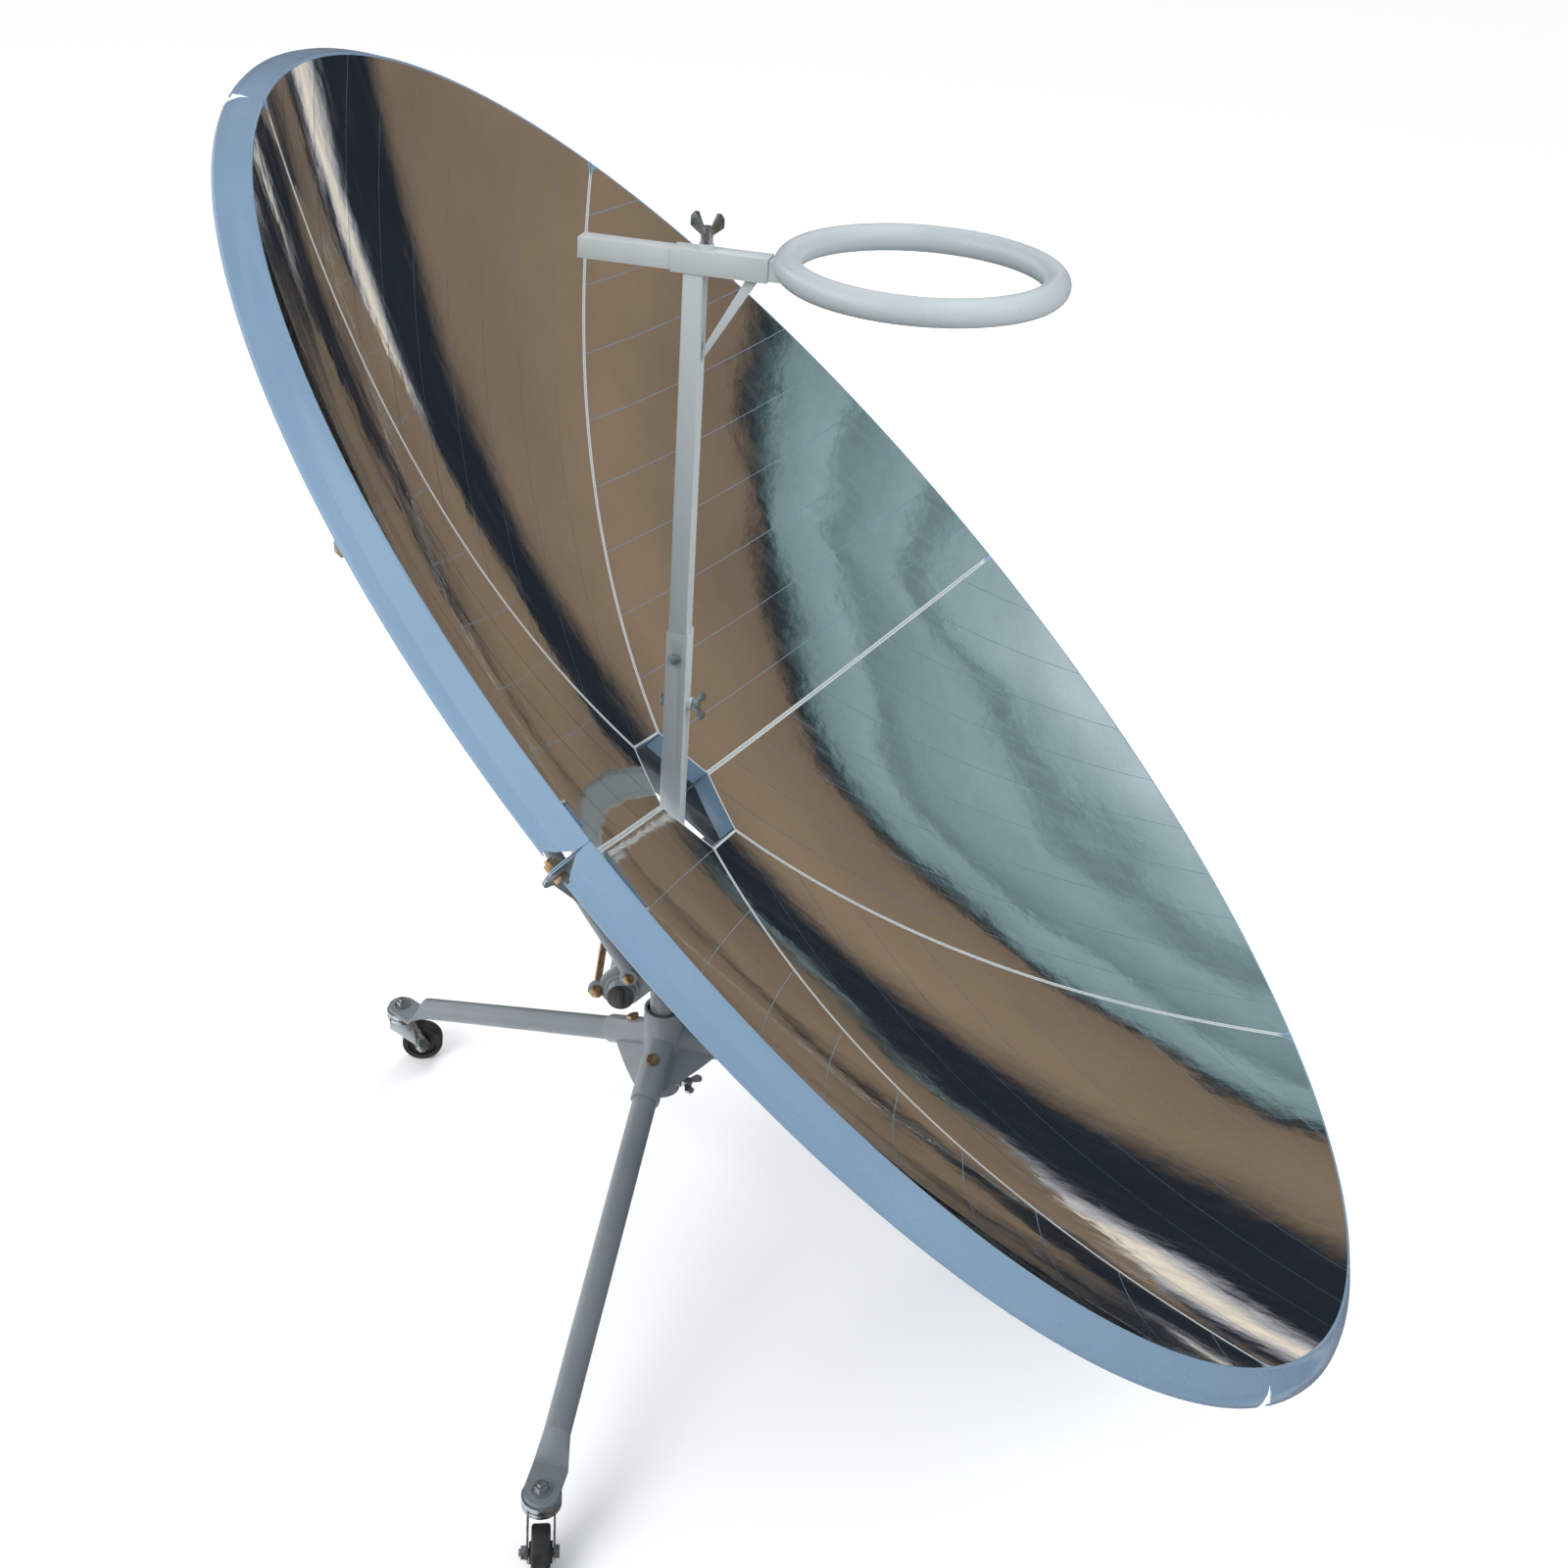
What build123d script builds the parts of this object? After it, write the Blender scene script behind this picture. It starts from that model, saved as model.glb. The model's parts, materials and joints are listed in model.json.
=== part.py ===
from build123d import *
import math
import os

# Parabolic solar cooker: a six-petal mirror dish on a wheeled tripod, with a pot stand through its centre.
# Millimetres, +Z up. The mast of the pot stand is the reference line of the layout, and the floor is z = 0.
# The finished model is moved so that its origin lies at the bottom centre of its bounding box.

# ---------------------------------------------------------------- driving dimensions
# dish
rim_radius = 750.0            # front edge of the mirror dish
focal_length = 574.0          # of the parabola
hole_radius = 73.0            # corner radius of the hexagonal opening in the middle
petal_count = 6
sheet = 1.0                   # pressed steel of the petals
joint_gap = 0.4               # between two neighbouring petals
flange_depth = 36.0           # folded radial edges, where petals are bolted together
inner_flange_depth = 20.0     # folded edge round the opening
skirt_out = 20.0              # the rim skirt flares out by this
skirt_back = 18.0             # and runs back by this
skirt_lip = 5.0               # straight lip at its back edge
petal_corner = 18.0
film = 0.4                    # mirror film on each petal
film_margin = 3.0
dish_tilt = 43.9              # dish axis from the vertical, at rest
pattern_turn = 7.8            # turn of the petal joints about the dish axis
apex_x = 10.8                 # bottom of the bowl, ahead of the mast
apex_z = 582.6

# tilt pivot
pivot_x = -42.0
pivot_z = 380.0
pivot_outer = 29.0
pivot_wall = 2.5
pivot_half = 78.0
bearing_play = 0.05
plate_y = 60.0                # middle of each side plate
plate_thick = 5.0
plate_width = 46.0
collar_radius = 18.0
collar_width = 4.0
collar_gap = 0.3
plug_radius = 14.0
plug_cap = 2.5
plug_bar = 6.0

# carrier behind the dish
carrier_radius = 190.0        # corner radius of the hexagonal carrier plate
carrier_thick = 4.0
carrier_drop = 38.0           # its front face behind the apex
lug_height = 26.0
lug_thick = 3.0
lug_inner = 104.0
lug_outer = 150.0
lug_bolt_reach = 127.0
lug_bolt_drop = 18.0          # behind the apex
slot_half_width = 42.0
slot_back = -62.0
slot_front = 98.0

# hub and legs
leg_count = 3
leg_first = 139.9             # azimuth of the first leg
leg_slope = 24.3
leg_reach = 442.0             # castor stems from the mast line
leg_outer = 26.0
leg_wall = 1.5
leg_axis_z = 277.0            # where the leg axes meet the mast line
leg_end_z = 79.0              # top face of a leg's flattened end
leg_end_thick = 5.0
leg_end_start = 392.0         # where a leg begins to flatten, from the mast line
leg_end_flat = 412.0          # and where it is flat
leg_end_width = 34.0
socket_wall = 2.5
socket_reach = 82.0
leg_inset = 30.0              # start of a leg tube, along its axis from the mast line
web_thick = 3.0
column_outer = 42.0
column_inner = 36.0
column_bottom = 206.0
column_top = 312.0

# castors
wheel_radius = 25.0
wheel_width = 18.0
axle_radius = 4.0
wheel_play = 0.05
castor_trail = 24.0
fork_gap = 23.0
fork_thick = 2.0
race_radius = 19.0
race_height = 6.0
race_gap = 1.0
fork_plate = 5.0
stem_radius = 4.0
kingpin_radius = 5.0
wheel_hub_radius = 10.0
wheel_hub_play = 0.5
castor_headings = (8.0, -84.0, 60.0)

# head
spindle_radius = 15.0
spindle_play = 0.05
spindle_bottom = 214.0
bush_bottom = 230.0
bush_top = 306.0
block_bottom = 318.0
block_size = 27.0
block_top = 430.0
foot_radius = 10.0            # round foot of the mast in the block
foot_length = 58.0
foot_play = 0.05
foot_gap = 0.4
saddle_half = 22.0
saddle_height = 36.0
head_screw_z = 412.0

# pot stand
arm_yaw = -13.4               # the pot arm's azimuth
outer_tube = 22.0
inner_tube = 19.0
tube_wall = 1.3
slide_play = 0.1
mast_split = 765.0            # top of the lower mast tube
mast_upper_bottom = 560.0
arm_z = 1135.0                # middle of the horizontal tubes
sleeve_back = -21.0
sleeve_front = 69.0
arm_back = -109.0
ring_reach = 205.0            # ring centre from the mast
ring_radius = 118.0           # middle line of the ring's tube
ring_tube = 12.5
ring_rise = 14.0
brace_size = 8.0

# stays and straps between the side plates and the dish
stay_radius = 7.5
stay_wall = 1.2
stay_reach = 595.0            # where a stay holds the back of its petal
stay_stand_off = 24.0         # its middle line behind the mirror surface
stay_root = (-14.0, 26.0)     # its foot on the side plate from the pivot, across and along the plate
eye_radius = 9.0
eye_width = 22.0
strap_width = 16.0
strap_thick = 3.0
strap_tab = 14.0
strap_root = (-13.0, 47.0)
rim_bolt_inset = 12.0         # rim bolts inside the rim
rim_bolt_drop = 30.0          # and behind the mirror surface
ear_offset = (-15.3, -21.6)   # tie rod of the side plates from the pivot, across and along the plate
ear_radius = 9.0
plate_foot = 30.0             # the side plates' feet under the carrier plate
plate_foot_thick = 4.0

# fasteners
bolt_radius = 3.0
bolt_clearance = 0.2
bolt_across = 10.0
bolt_head = 4.0
bolt_nut = 5.0
bolt_tail = 2.0
big_bolt_radius = 4.0
big_bolt_across = 12.0
wing_play = 0.05
wing_gap = 1.0                # between a wing screw's hub and its boss
wing_tip_gap = 0.3
boss_radius = 7.0
boss_height = 5.0
hub_screw_z = 222.0
hub_screw_turn = -22.0
hub_wing_height = 9.0
mast_screw_z = 685.0
mast_wing_height = 6.5
stop_screw_z = 738.0
arm_screw_reach = 9.0
arm_wing_height = 14.0
leg_bolt_reach = 42.0         # along a leg's axis, from the mast line

# ---------------------------------------------------------------- derived places
tilt = math.radians(dish_tilt)
axis = Vector(math.sin(tilt), 0, math.cos(tilt))
low_side = Vector(math.cos(tilt), 0, -math.sin(tilt))
apex = Vector(apex_x, 0, apex_z)
dish = Plane(origin=apex, x_dir=low_side, z_dir=axis)
dish_section = Plane(origin=apex, x_dir=low_side, z_dir=(0, -1, 0))
dish_axis = Axis(apex, axis)
petal_angle = 360.0 / petal_count
rim_height = rim_radius ** 2 / (4 * focal_length)
arm_dir = Vector(math.cos(math.radians(arm_yaw)), math.sin(math.radians(arm_yaw)), 0)
arm_side = Vector(-arm_dir.Y, arm_dir.X, 0)
pieces = {}


def keep(name, builder):
    """File a finished piece under the name of its node."""
    builder.part.label = name
    pieces[name] = builder


def bowl(r):
    """Height of the mirror surface above the apex at radius r."""
    return r * r / (4 * focal_length)


def dish_point(r, angle, height):
    """A point given by radius, angle about the dish axis and height above the apex."""
    a = math.radians(angle)
    return dish.from_local_coords(Vector(r * math.cos(a), r * math.sin(a), height))


def turned_plane(angle, height):
    """A plane square to the dish axis, its X turned by the angle, at a height above the apex."""
    centre = dish_point(0, 0, height)
    return Plane(origin=centre, x_dir=dish_point(1, angle, height) - centre, z_dir=axis)


def parabola(r0, r1, shift):
    """The bowl's line between two radii, moved along the dish axis: a parabola is a quadratic Bezier."""
    return Bezier(
        (r0, bowl(r0) + shift), ((r0 + r1) / 2, r0 * r1 / (4 * focal_length) + shift), (r1, bowl(r1) + shift)
    )


def bowl_layer(r0, r1, top, bottom):
    """Outline of a layer between two copies of the parabola, in the dish's section plane."""
    with BuildLine() as outline:
        parabola(r0, r1, top)
        Line((r1, bowl(r1) + top), (r1, bowl(r1) + bottom))
        parabola(r0, r1, bottom)
        Line((r0, bowl(r0) + top), (r0, bowl(r0) + bottom))
    return outline.line


def wedge(inset, inner, outer, corner):
    """Plan outline of a petal whose middle lies on +X: straight inner edge, straight sides, round rim."""
    half = math.radians(petal_angle / 2)
    start = (inner, inner * math.tan(half) - inset / math.cos(half))
    swing = half - math.asin(inset / outer)
    end = (outer * math.cos(swing), outer * math.sin(swing))
    with BuildSketch() as outline:
        with BuildLine():
            Line((start[0], -start[1]), start)
            Line(start, end)
            ThreePointArc(end, (outer, 0), (end[0], -end[1]))
            Line((end[0], -end[1]), (start[0], -start[1]))
        make_face()
        if corner > 0:
            fillet(outline.vertices().group_by(Axis.X)[-1], corner)
    return outline.sketch


def joint_bolt_planes(angle):
    """Planes across the joint at this angle, at its carrier bolt and at its rim bolt."""
    across = dish_point(1, angle + 90, 0) - apex
    reach = rim_radius - rim_bolt_inset
    low = dish_point(lug_bolt_reach, angle, -lug_bolt_drop)
    high = dish_point(reach, angle, bowl(reach) - rim_bolt_drop)
    return [Plane(origin=place, x_dir=axis, z_dir=across) for place in (low, high)]


# ---------------------------------------------------------------- dish petals and mirror film
apothem = hole_radius * math.cos(math.radians(petal_angle / 2))
skirt_edge = rim_radius + skirt_out
for number in range(petal_count):
    middle = pattern_turn + petal_angle * (number + 0.5)
    low_plane = turned_plane(middle, -flange_depth - 60)

    with BuildPart() as hollow:
        with BuildSketch(dish_section):
            make_face(bowl_layer(apothem - 20, skirt_edge + 60, -sheet, -flange_depth - 50).edges())
        revolve(axis=dish_axis, revolution_arc=360)
        with BuildSketch(low_plane):
            add(wedge(joint_gap / 2 + sheet, apothem + sheet, skirt_edge + 50, 0))
        extrude(amount=500, mode=Mode.INTERSECT)

    with BuildPart() as petal:
        with BuildSketch(dish_section):
            make_face(bowl_layer(apothem - 10, rim_radius, 0, -flange_depth).edges())
        revolve(axis=dish_axis, revolution_arc=360)
        add(hollow.part, mode=Mode.SUBTRACT)
        # the rim skirt: a flared strip, a crease and a short lip
        with BuildSketch(dish_section):
            with BuildLine():
                Polyline(
                    (rim_radius - sheet, rim_height - sheet),
                    (rim_radius - sheet, rim_height),
                    (rim_radius + sheet / 2, rim_height),
                    (rim_radius + 0.8 * skirt_out, rim_height - 0.7 * skirt_back),
                    (skirt_edge, rim_height - skirt_back),
                    (skirt_edge, rim_height - skirt_back - skirt_lip),
                    (skirt_edge - sheet, rim_height - skirt_back - skirt_lip),
                    (skirt_edge - sheet, rim_height - skirt_back - sheet / 3),
                    (rim_radius + 0.8 * skirt_out - sheet, rim_height - 0.7 * skirt_back - sheet),
                    close=True,
                )
            make_face()
        revolve(axis=dish_axis, revolution_arc=360)
        with BuildSketch(low_plane):
            add(wedge(joint_gap / 2, apothem, skirt_edge + 1, petal_corner))
        extrude(amount=500, mode=Mode.INTERSECT)
        # the folded edge round the opening is shallower than the radial ones
        with BuildSketch(turned_plane(middle, bowl(apothem) - inner_flange_depth)):
            with Locations((apothem, 0)):
                Rectangle(2 * sheet + 2, hole_radius - 6 * sheet)
        extrude(amount=-flange_depth, mode=Mode.SUBTRACT)
        for side in (-1, 1):
            for hole in joint_bolt_planes(middle + side * petal_angle / 2):
                with BuildSketch(hole):
                    Circle(bolt_radius + bolt_clearance)
                extrude(amount=2 * flange_depth / 3, both=True, mode=Mode.SUBTRACT)
    keep(f"petal_{number + 1}", petal)

    with BuildPart() as mirror:
        with BuildSketch(dish_section):
            make_face(bowl_layer(apothem - 10, rim_radius - film_margin, film, 0).edges())
        revolve(axis=dish_axis, revolution_arc=360)
        with BuildSketch(low_plane):
            add(wedge(film_margin, apothem + film_margin, rim_radius, petal_corner - film_margin))
        extrude(amount=500, mode=Mode.INTERSECT)
    keep(f"mirror_{number + 1}", mirror)


# ---------------------------------------------------------------- fasteners
def hex_bolt(plane, shank, across, head, grip, nut, tail):
    """A hexagon bolt: its head on the plane, its shank down through the grip, a nut and a short tail."""
    with BuildPart() as bolt:
        with BuildSketch(plane):
            RegularPolygon(radius=across / math.sqrt(3), side_count=6)
        extrude(amount=head)
        with BuildSketch(plane):
            Circle(shank)
        extrude(amount=-(grip + nut + tail))
        if nut > 0:
            with BuildSketch(plane.offset(-grip)):
                RegularPolygon(radius=across / math.sqrt(3), side_count=6)
            extrude(amount=-nut)
    return bolt.part


def small_bolt(plane, grip, nut=True):
    """One of the many small hexagon bolts."""
    if nut:
        return hex_bolt(plane, bolt_radius, bolt_across, bolt_head, grip, bolt_nut, bolt_tail)
    return hex_bolt(plane, bolt_radius, bolt_across, bolt_head, grip, 0, 0)


def wing_screw(plane, depth, height):
    """A wing screw: shank below the plane, a hub and two raised wings above it, along the plane's X."""
    wide = 2.2 * boss_radius
    with BuildPart() as screw:
        with BuildSketch(plane):
            Circle(bolt_radius)
        extrude(amount=-depth)
        with BuildSketch(plane):
            Circle(0.8 * boss_radius)
        extrude(amount=height)
        with BuildSketch(Plane(origin=plane.origin, x_dir=plane.x_dir, z_dir=-plane.y_dir)):
            with BuildLine():
                Polyline(
                    (-0.4 * boss_radius, 0.3 * height),
                    (0.4 * boss_radius, 0.3 * height),
                    (wide, 1.0 * height),
                    (wide, 1.6 * height),
                    (0.8 * wide, 1.9 * height),
                    (0.55 * wide, 1.9 * height),
                    (0.4 * boss_radius, 0.9 * height),
                    (-0.4 * boss_radius, 0.9 * height),
                    (-0.55 * wide, 1.9 * height),
                    (-0.8 * wide, 1.9 * height),
                    (-wide, 1.6 * height),
                    (-wide, 1.0 * height),
                    close=True,
                )
            make_face()
        extrude(amount=boss_radius / 5, both=True)
    return screw.part


# ---------------------------------------------------------------- hub, sockets and webs
slope = math.radians(leg_slope)
hub_centre = Vector(0, 0, leg_axis_z)
leg_angles = [math.radians(leg_first + 360 / leg_count * number) for number in range(leg_count)]
leg_outward = [Vector(math.cos(a), math.sin(a), 0) for a in leg_angles]
leg_dirs = [out * math.cos(slope) - Vector(0, 0, math.sin(slope)) for out in leg_outward]
leg_planes = [Plane(origin=hub_centre, x_dir=(-d.Y, d.X, 0), z_dir=d) for d in leg_dirs]
leg_bolt_planes = [Plane(origin=p.origin + p.z_dir * leg_bolt_reach, x_dir=p.z_dir, z_dir=p.y_dir) for p in leg_planes]
socket_radius = leg_outer / 2 + socket_wall
column_length = column_top - column_bottom
hub_screw_angle = math.radians(hub_screw_turn)
hub_screw_plane = Plane(
    origin=(0, 0, hub_screw_z), x_dir=(-math.sin(hub_screw_angle), math.cos(hub_screw_angle), 0),
    z_dir=(math.cos(hub_screw_angle), math.sin(hub_screw_angle), 0),
)

with BuildPart() as leg_hub:
    with BuildSketch(Plane.XY.offset(column_bottom)):
        Circle(column_outer / 2)
    extrude(amount=column_length)
    for plane in leg_planes:
        with BuildSketch(plane):
            Circle(socket_radius)
        extrude(amount=socket_reach)
    # a pressed web in the plane of each two neighbouring sockets, its free edge dished in
    for number in range(leg_count):
        first = leg_dirs[number]
        second = leg_dirs[(number + 1) % leg_count]
        turn = math.radians(first.get_angle(second))
        far = (socket_reach * math.cos(turn), socket_reach * math.sin(turn))
        dip = (0.66 * socket_reach * math.cos(turn / 2), 0.66 * socket_reach * math.sin(turn / 2))
        with BuildSketch(Plane(origin=hub_centre, x_dir=first, z_dir=first.cross(second))):
            with BuildLine():
                Line((0, 0), (socket_reach, 0))
                ThreePointArc((socket_reach, 0), dip, far)
                Line(far, (0, 0))
            make_face()
        extrude(amount=web_thick / 2, both=True)
    # boss of the swivel's wing screw
    with BuildSketch(hub_screw_plane.offset(column_inner / 2)):
        Circle(boss_radius)
    extrude(amount=(column_outer - column_inner) / 2 + boss_height)
    with BuildSketch(Plane.XY.offset(column_bottom)):
        Circle(column_inner / 2)
    extrude(amount=column_length, mode=Mode.SUBTRACT)
    with BuildSketch(hub_screw_plane):
        Circle(bolt_radius + wing_play)
    extrude(amount=column_outer, mode=Mode.SUBTRACT)
    for plane, bolt_plane in zip(leg_planes, leg_bolt_planes):
        with BuildSketch(plane.offset(leg_inset)):
            Circle(leg_outer / 2)
        extrude(amount=socket_reach, mode=Mode.SUBTRACT)
        with BuildSketch(bolt_plane):
            Circle(big_bolt_radius + bolt_clearance)
        extrude(amount=2 * socket_radius, both=True, mode=Mode.SUBTRACT)
keep("leg_hub", leg_hub)

with BuildPart() as hub_bushing:
    with BuildSketch(Plane.XY.offset(bush_bottom)):
        Circle(column_inner / 2)
        Circle(spindle_radius + spindle_play, mode=Mode.SUBTRACT)
    extrude(amount=bush_top - bush_bottom)
    for plane in leg_planes:
        with BuildSketch(plane.offset(leg_inset)):
            Circle(leg_outer / 2)
        extrude(amount=-leg_inset, mode=Mode.SUBTRACT)
keep("hub_bushing", hub_bushing)

with BuildPart() as hub_wing_screw:
    seat = column_outer / 2 + boss_height + wing_gap
    add(wing_screw(hub_screw_plane.offset(seat), seat - spindle_radius - wing_tip_gap, hub_wing_height))
keep("hub_wing_screw", hub_wing_screw)

# ---------------------------------------------------------------- legs
leg_mid_z = leg_end_z - leg_end_thick / 2
leg_tube_end = leg_end_start / math.cos(slope)
for number in range(leg_count):
    out = leg_outward[number]
    plane = leg_planes[number]
    with BuildPart() as leg:
        with BuildSketch(plane.offset(leg_inset)):
            Circle(leg_outer / 2)
        extrude(amount=leg_tube_end - leg_inset)
        # the outer end is pressed flat and drilled for the castor's stem
        with BuildSketch(plane.offset(leg_tube_end)):
            Circle(leg_outer / 2)
        with BuildSketch(Plane(origin=out * leg_end_flat + Vector(0, 0, leg_mid_z), x_dir=plane.x_dir, z_dir=out)):
            Rectangle(leg_end_width, leg_end_thick)
        loft()
        with BuildSketch(Plane(origin=out * leg_reach + Vector(0, 0, leg_end_z), x_dir=out, z_dir=(0, 0, 1))):
            Circle(leg_end_width / 2)
            with Locations(((leg_end_flat - leg_reach) / 2, 0)):
                Rectangle(leg_reach - leg_end_flat, leg_end_width)
            Circle(stem_radius + bolt_clearance, mode=Mode.SUBTRACT)
        extrude(amount=-leg_end_thick)
        with BuildSketch(plane.offset(leg_inset)):
            Circle(leg_outer / 2 - leg_wall)
        extrude(amount=leg_tube_end - leg_inset, mode=Mode.SUBTRACT)
        with BuildSketch(leg_bolt_planes[number]):
            Circle(big_bolt_radius + bolt_clearance)
        extrude(amount=leg_outer, both=True, mode=Mode.SUBTRACT)
    keep(f"leg_{number + 1}", leg)

with BuildPart() as leg_bolts:
    for plane in leg_bolt_planes:
        add(
            hex_bolt(
                plane.offset(socket_radius), big_bolt_radius, big_bolt_across, bolt_head, 2 * socket_radius,
                bolt_nut, bolt_tail,
            )
        )
keep("leg_bolts", leg_bolts)

# ---------------------------------------------------------------- castors
race_bottom = leg_end_z - leg_end_thick - race_height
crown_top = race_bottom - race_gap
crown_bottom = crown_top - fork_plate
fork_outer = fork_gap / 2 + fork_thick
stem_planes = [Plane(origin=out * leg_reach, x_dir=out, z_dir=(0, 0, 1)) for out in leg_outward]

with BuildPart() as castor_stems:
    for plane in stem_planes:
        with BuildSketch(plane.offset(leg_end_z)):
            Circle(2.4 * stem_radius)
        extrude(amount=bolt_clearance * 5)
        with BuildSketch(plane.offset(leg_end_z)):
            RegularPolygon(radius=big_bolt_across / math.sqrt(3), side_count=6)
        extrude(amount=bolt_clearance * 5 + bolt_nut + 1)
        with BuildSketch(plane.offset(leg_end_z + bolt_nut + bolt_tail + 3)):
            Circle(stem_radius)
        extrude(amount=-(bolt_nut + bolt_tail + 3 + leg_end_thick))
        with BuildSketch(plane.offset(race_bottom)):
            Circle(race_radius)
        extrude(amount=race_height)
        with BuildSketch(plane.offset(race_bottom)):
            Circle(kingpin_radius)
        extrude(amount=-(race_gap + fork_plate + race_gap + 3))
        with BuildSketch(plane.offset(crown_bottom - race_gap)):
            Circle(1.6 * kingpin_radius)
        extrude(amount=-3)
keep("castor_stems", castor_stems)

for number, heading in enumerate(castor_headings):
    a = math.radians(heading)
    forward = Vector(math.cos(a), math.sin(a), 0)
    aside = Vector(-math.sin(a), math.cos(a), 0)
    stem = stem_planes[number].origin
    hub = stem + forward * castor_trail + Vector(0, 0, wheel_radius)
    across = Plane(origin=hub, x_dir=forward, z_dir=aside)
    cheek = Plane(origin=stem, x_dir=forward, z_dir=-aside)

    with BuildPart() as fork:
        with BuildSketch(Plane(origin=stem + Vector(0, 0, crown_bottom), x_dir=forward, z_dir=(0, 0, 1))):
            Circle(race_radius)
            Rectangle(2 * 0.8 * race_radius, 2 * fork_outer)
        extrude(amount=fork_plate)
        for side in (-1, 1):
            with BuildSketch(cheek.offset(side * (fork_outer - fork_thick / 2))):
                with BuildLine():
                    Polyline(
                        (-0.8 * race_radius, crown_bottom + 0.5),
                        (-0.8 * race_radius, crown_bottom - 9),
                        (castor_trail - 9, wheel_radius + 2),
                        (castor_trail - 7, wheel_radius - 6),
                        (castor_trail, wheel_radius - 9),
                        (castor_trail + 7, wheel_radius - 6),
                        (castor_trail + 9, wheel_radius + 2),
                        (0.8 * race_radius, crown_bottom + 0.5),
                        close=True,
                    )
                make_face()
            extrude(amount=fork_thick / 2, both=True)
        with BuildSketch(across):
            Circle(axle_radius + bolt_clearance)
        extrude(amount=2 * fork_outer, both=True, mode=Mode.SUBTRACT)
        with BuildSketch(Plane.XY.offset(crown_bottom)):
            with Locations((stem.X, stem.Y)):
                Circle(kingpin_radius + wheel_play)
        extrude(amount=fork_plate, mode=Mode.SUBTRACT)
    keep(f"castor_fork_{number + 1}", fork)

    with BuildPart() as axle:
        add(
            hex_bolt(
                across.offset(fork_outer), axle_radius, big_bolt_across, bolt_head, 2 * fork_outer, bolt_nut, bolt_tail
            )
        )
    keep(f"castor_axle_{number + 1}", axle)

    with BuildPart() as wheel:
        with BuildSketch(across):
            Circle(wheel_radius)
        extrude(amount=wheel_width / 2, both=True)
        fillet(wheel.edges(), wheel_width / 6)
        for side in (-1, 1):
            with BuildSketch(across.offset(side * wheel_width / 2)):
                Circle(0.72 * wheel_radius)
            extrude(amount=-side * wheel_width / 6, mode=Mode.SUBTRACT)
        with BuildSketch(across):
            Circle(wheel_hub_radius)
        extrude(amount=fork_gap / 2 - wheel_hub_play, both=True)
        with BuildSketch(across):
            Circle(axle_radius + wheel_play)
        extrude(amount=fork_gap, both=True, mode=Mode.SUBTRACT)
    keep(f"castor_wheel_{number + 1}", wheel)

# ---------------------------------------------------------------- swivel head and tilt pivot
pivot = Vector(pivot_x, 0, pivot_z)
pivot_plane = Plane(origin=pivot, x_dir=(1, 0, 0), z_dir=(0, -1, 0))
foot_bottom = block_top + foot_gap - foot_length
head_screw_plane = Plane(origin=(0, -block_size / 2, head_screw_z), x_dir=(1, 0, 0), z_dir=(0, -1, 0))

with BuildPart() as head_block:
    with BuildSketch(Plane.XY.offset(block_bottom)):
        Rectangle(block_size, block_size)
    extrude(amount=block_top - block_bottom)
    chamfer(head_block.edges(), block_size / 9)
    with BuildSketch(Plane.XY.offset(spindle_bottom)):
        Circle(spindle_radius)
    extrude(amount=block_bottom - spindle_bottom + block_size / 2)
    with BuildSketch(Plane.XY.offset(pivot_z - saddle_height / 2)):
        with Locations((pivot_x / 2, 0)):
            Rectangle(-pivot_x, 2 * saddle_half)
    extrude(amount=saddle_height)
    with BuildSketch(pivot_plane):
        Circle(pivot_outer / 2)
    extrude(amount=pivot_half, both=True, mode=Mode.SUBTRACT)
    with BuildSketch(Plane.XY.offset(foot_bottom - 1)):
        Circle(foot_radius + foot_play)
    extrude(amount=foot_length + 1, mode=Mode.SUBTRACT)
    with BuildSketch(head_screw_plane):
        Circle(bolt_radius)
    extrude(amount=-block_size / 2, mode=Mode.SUBTRACT)
keep("head_block", head_block)

with BuildPart() as head_screw:
    add(small_bolt(head_screw_plane, block_size / 2 - foot_radius - wing_tip_gap, nut=False))
keep("head_screw", head_screw)

with BuildPart() as pivot_tube:
    with BuildSketch(pivot_plane):
        Circle(pivot_outer / 2)
        Circle(pivot_outer / 2 - pivot_wall, mode=Mode.SUBTRACT)
    extrude(amount=pivot_half, both=True)
keep("pivot_tube", pivot_tube)

with BuildPart() as pivot_plugs:
    for side in (-1, 1):
        end = Plane(origin=pivot + Vector(0, side * pivot_half, 0), x_dir=(1, 0, 0), z_dir=(0, side, 0))
        with BuildSketch(end):
            Circle(pivot_outer / 2 - pivot_wall)
        extrude(amount=-plug_radius)
        with BuildSketch(end):
            Circle(plug_radius)
        extrude(amount=plug_cap)
        with BuildSketch(end.offset(plug_cap)):
            Rectangle(plug_bar, 1.6 * plug_radius)
        extrude(amount=plug_cap)
keep("pivot_plugs", pivot_plugs)

plate_out = plate_y + plate_thick / 2
with BuildPart() as pivot_collars:
    for side in (-1, 1):
        start = pivot + Vector(0, side * (plate_out + collar_gap), 0)
        with BuildSketch(Plane(origin=start, x_dir=(1, 0, 0), z_dir=(0, side, 0))):
            Circle(collar_radius)
            Circle(pivot_outer / 2, mode=Mode.SUBTRACT)
        extrude(amount=collar_width)
keep("pivot_collars", pivot_collars)

# ---------------------------------------------------------------- carrier plate, side plates and their bolts
joint_angles = [pattern_turn + petal_angle * number for number in range(petal_count)]
joint_half = joint_gap / 2 + sheet
pivot_local = dish.to_local_coords(pivot)


def plate_point(across, along, y):
    """A point beside the pivot: across and along the side plates, at a distance from the middle plane."""
    return pivot + low_side * across + axis * along + Vector(0, y, 0)


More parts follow.
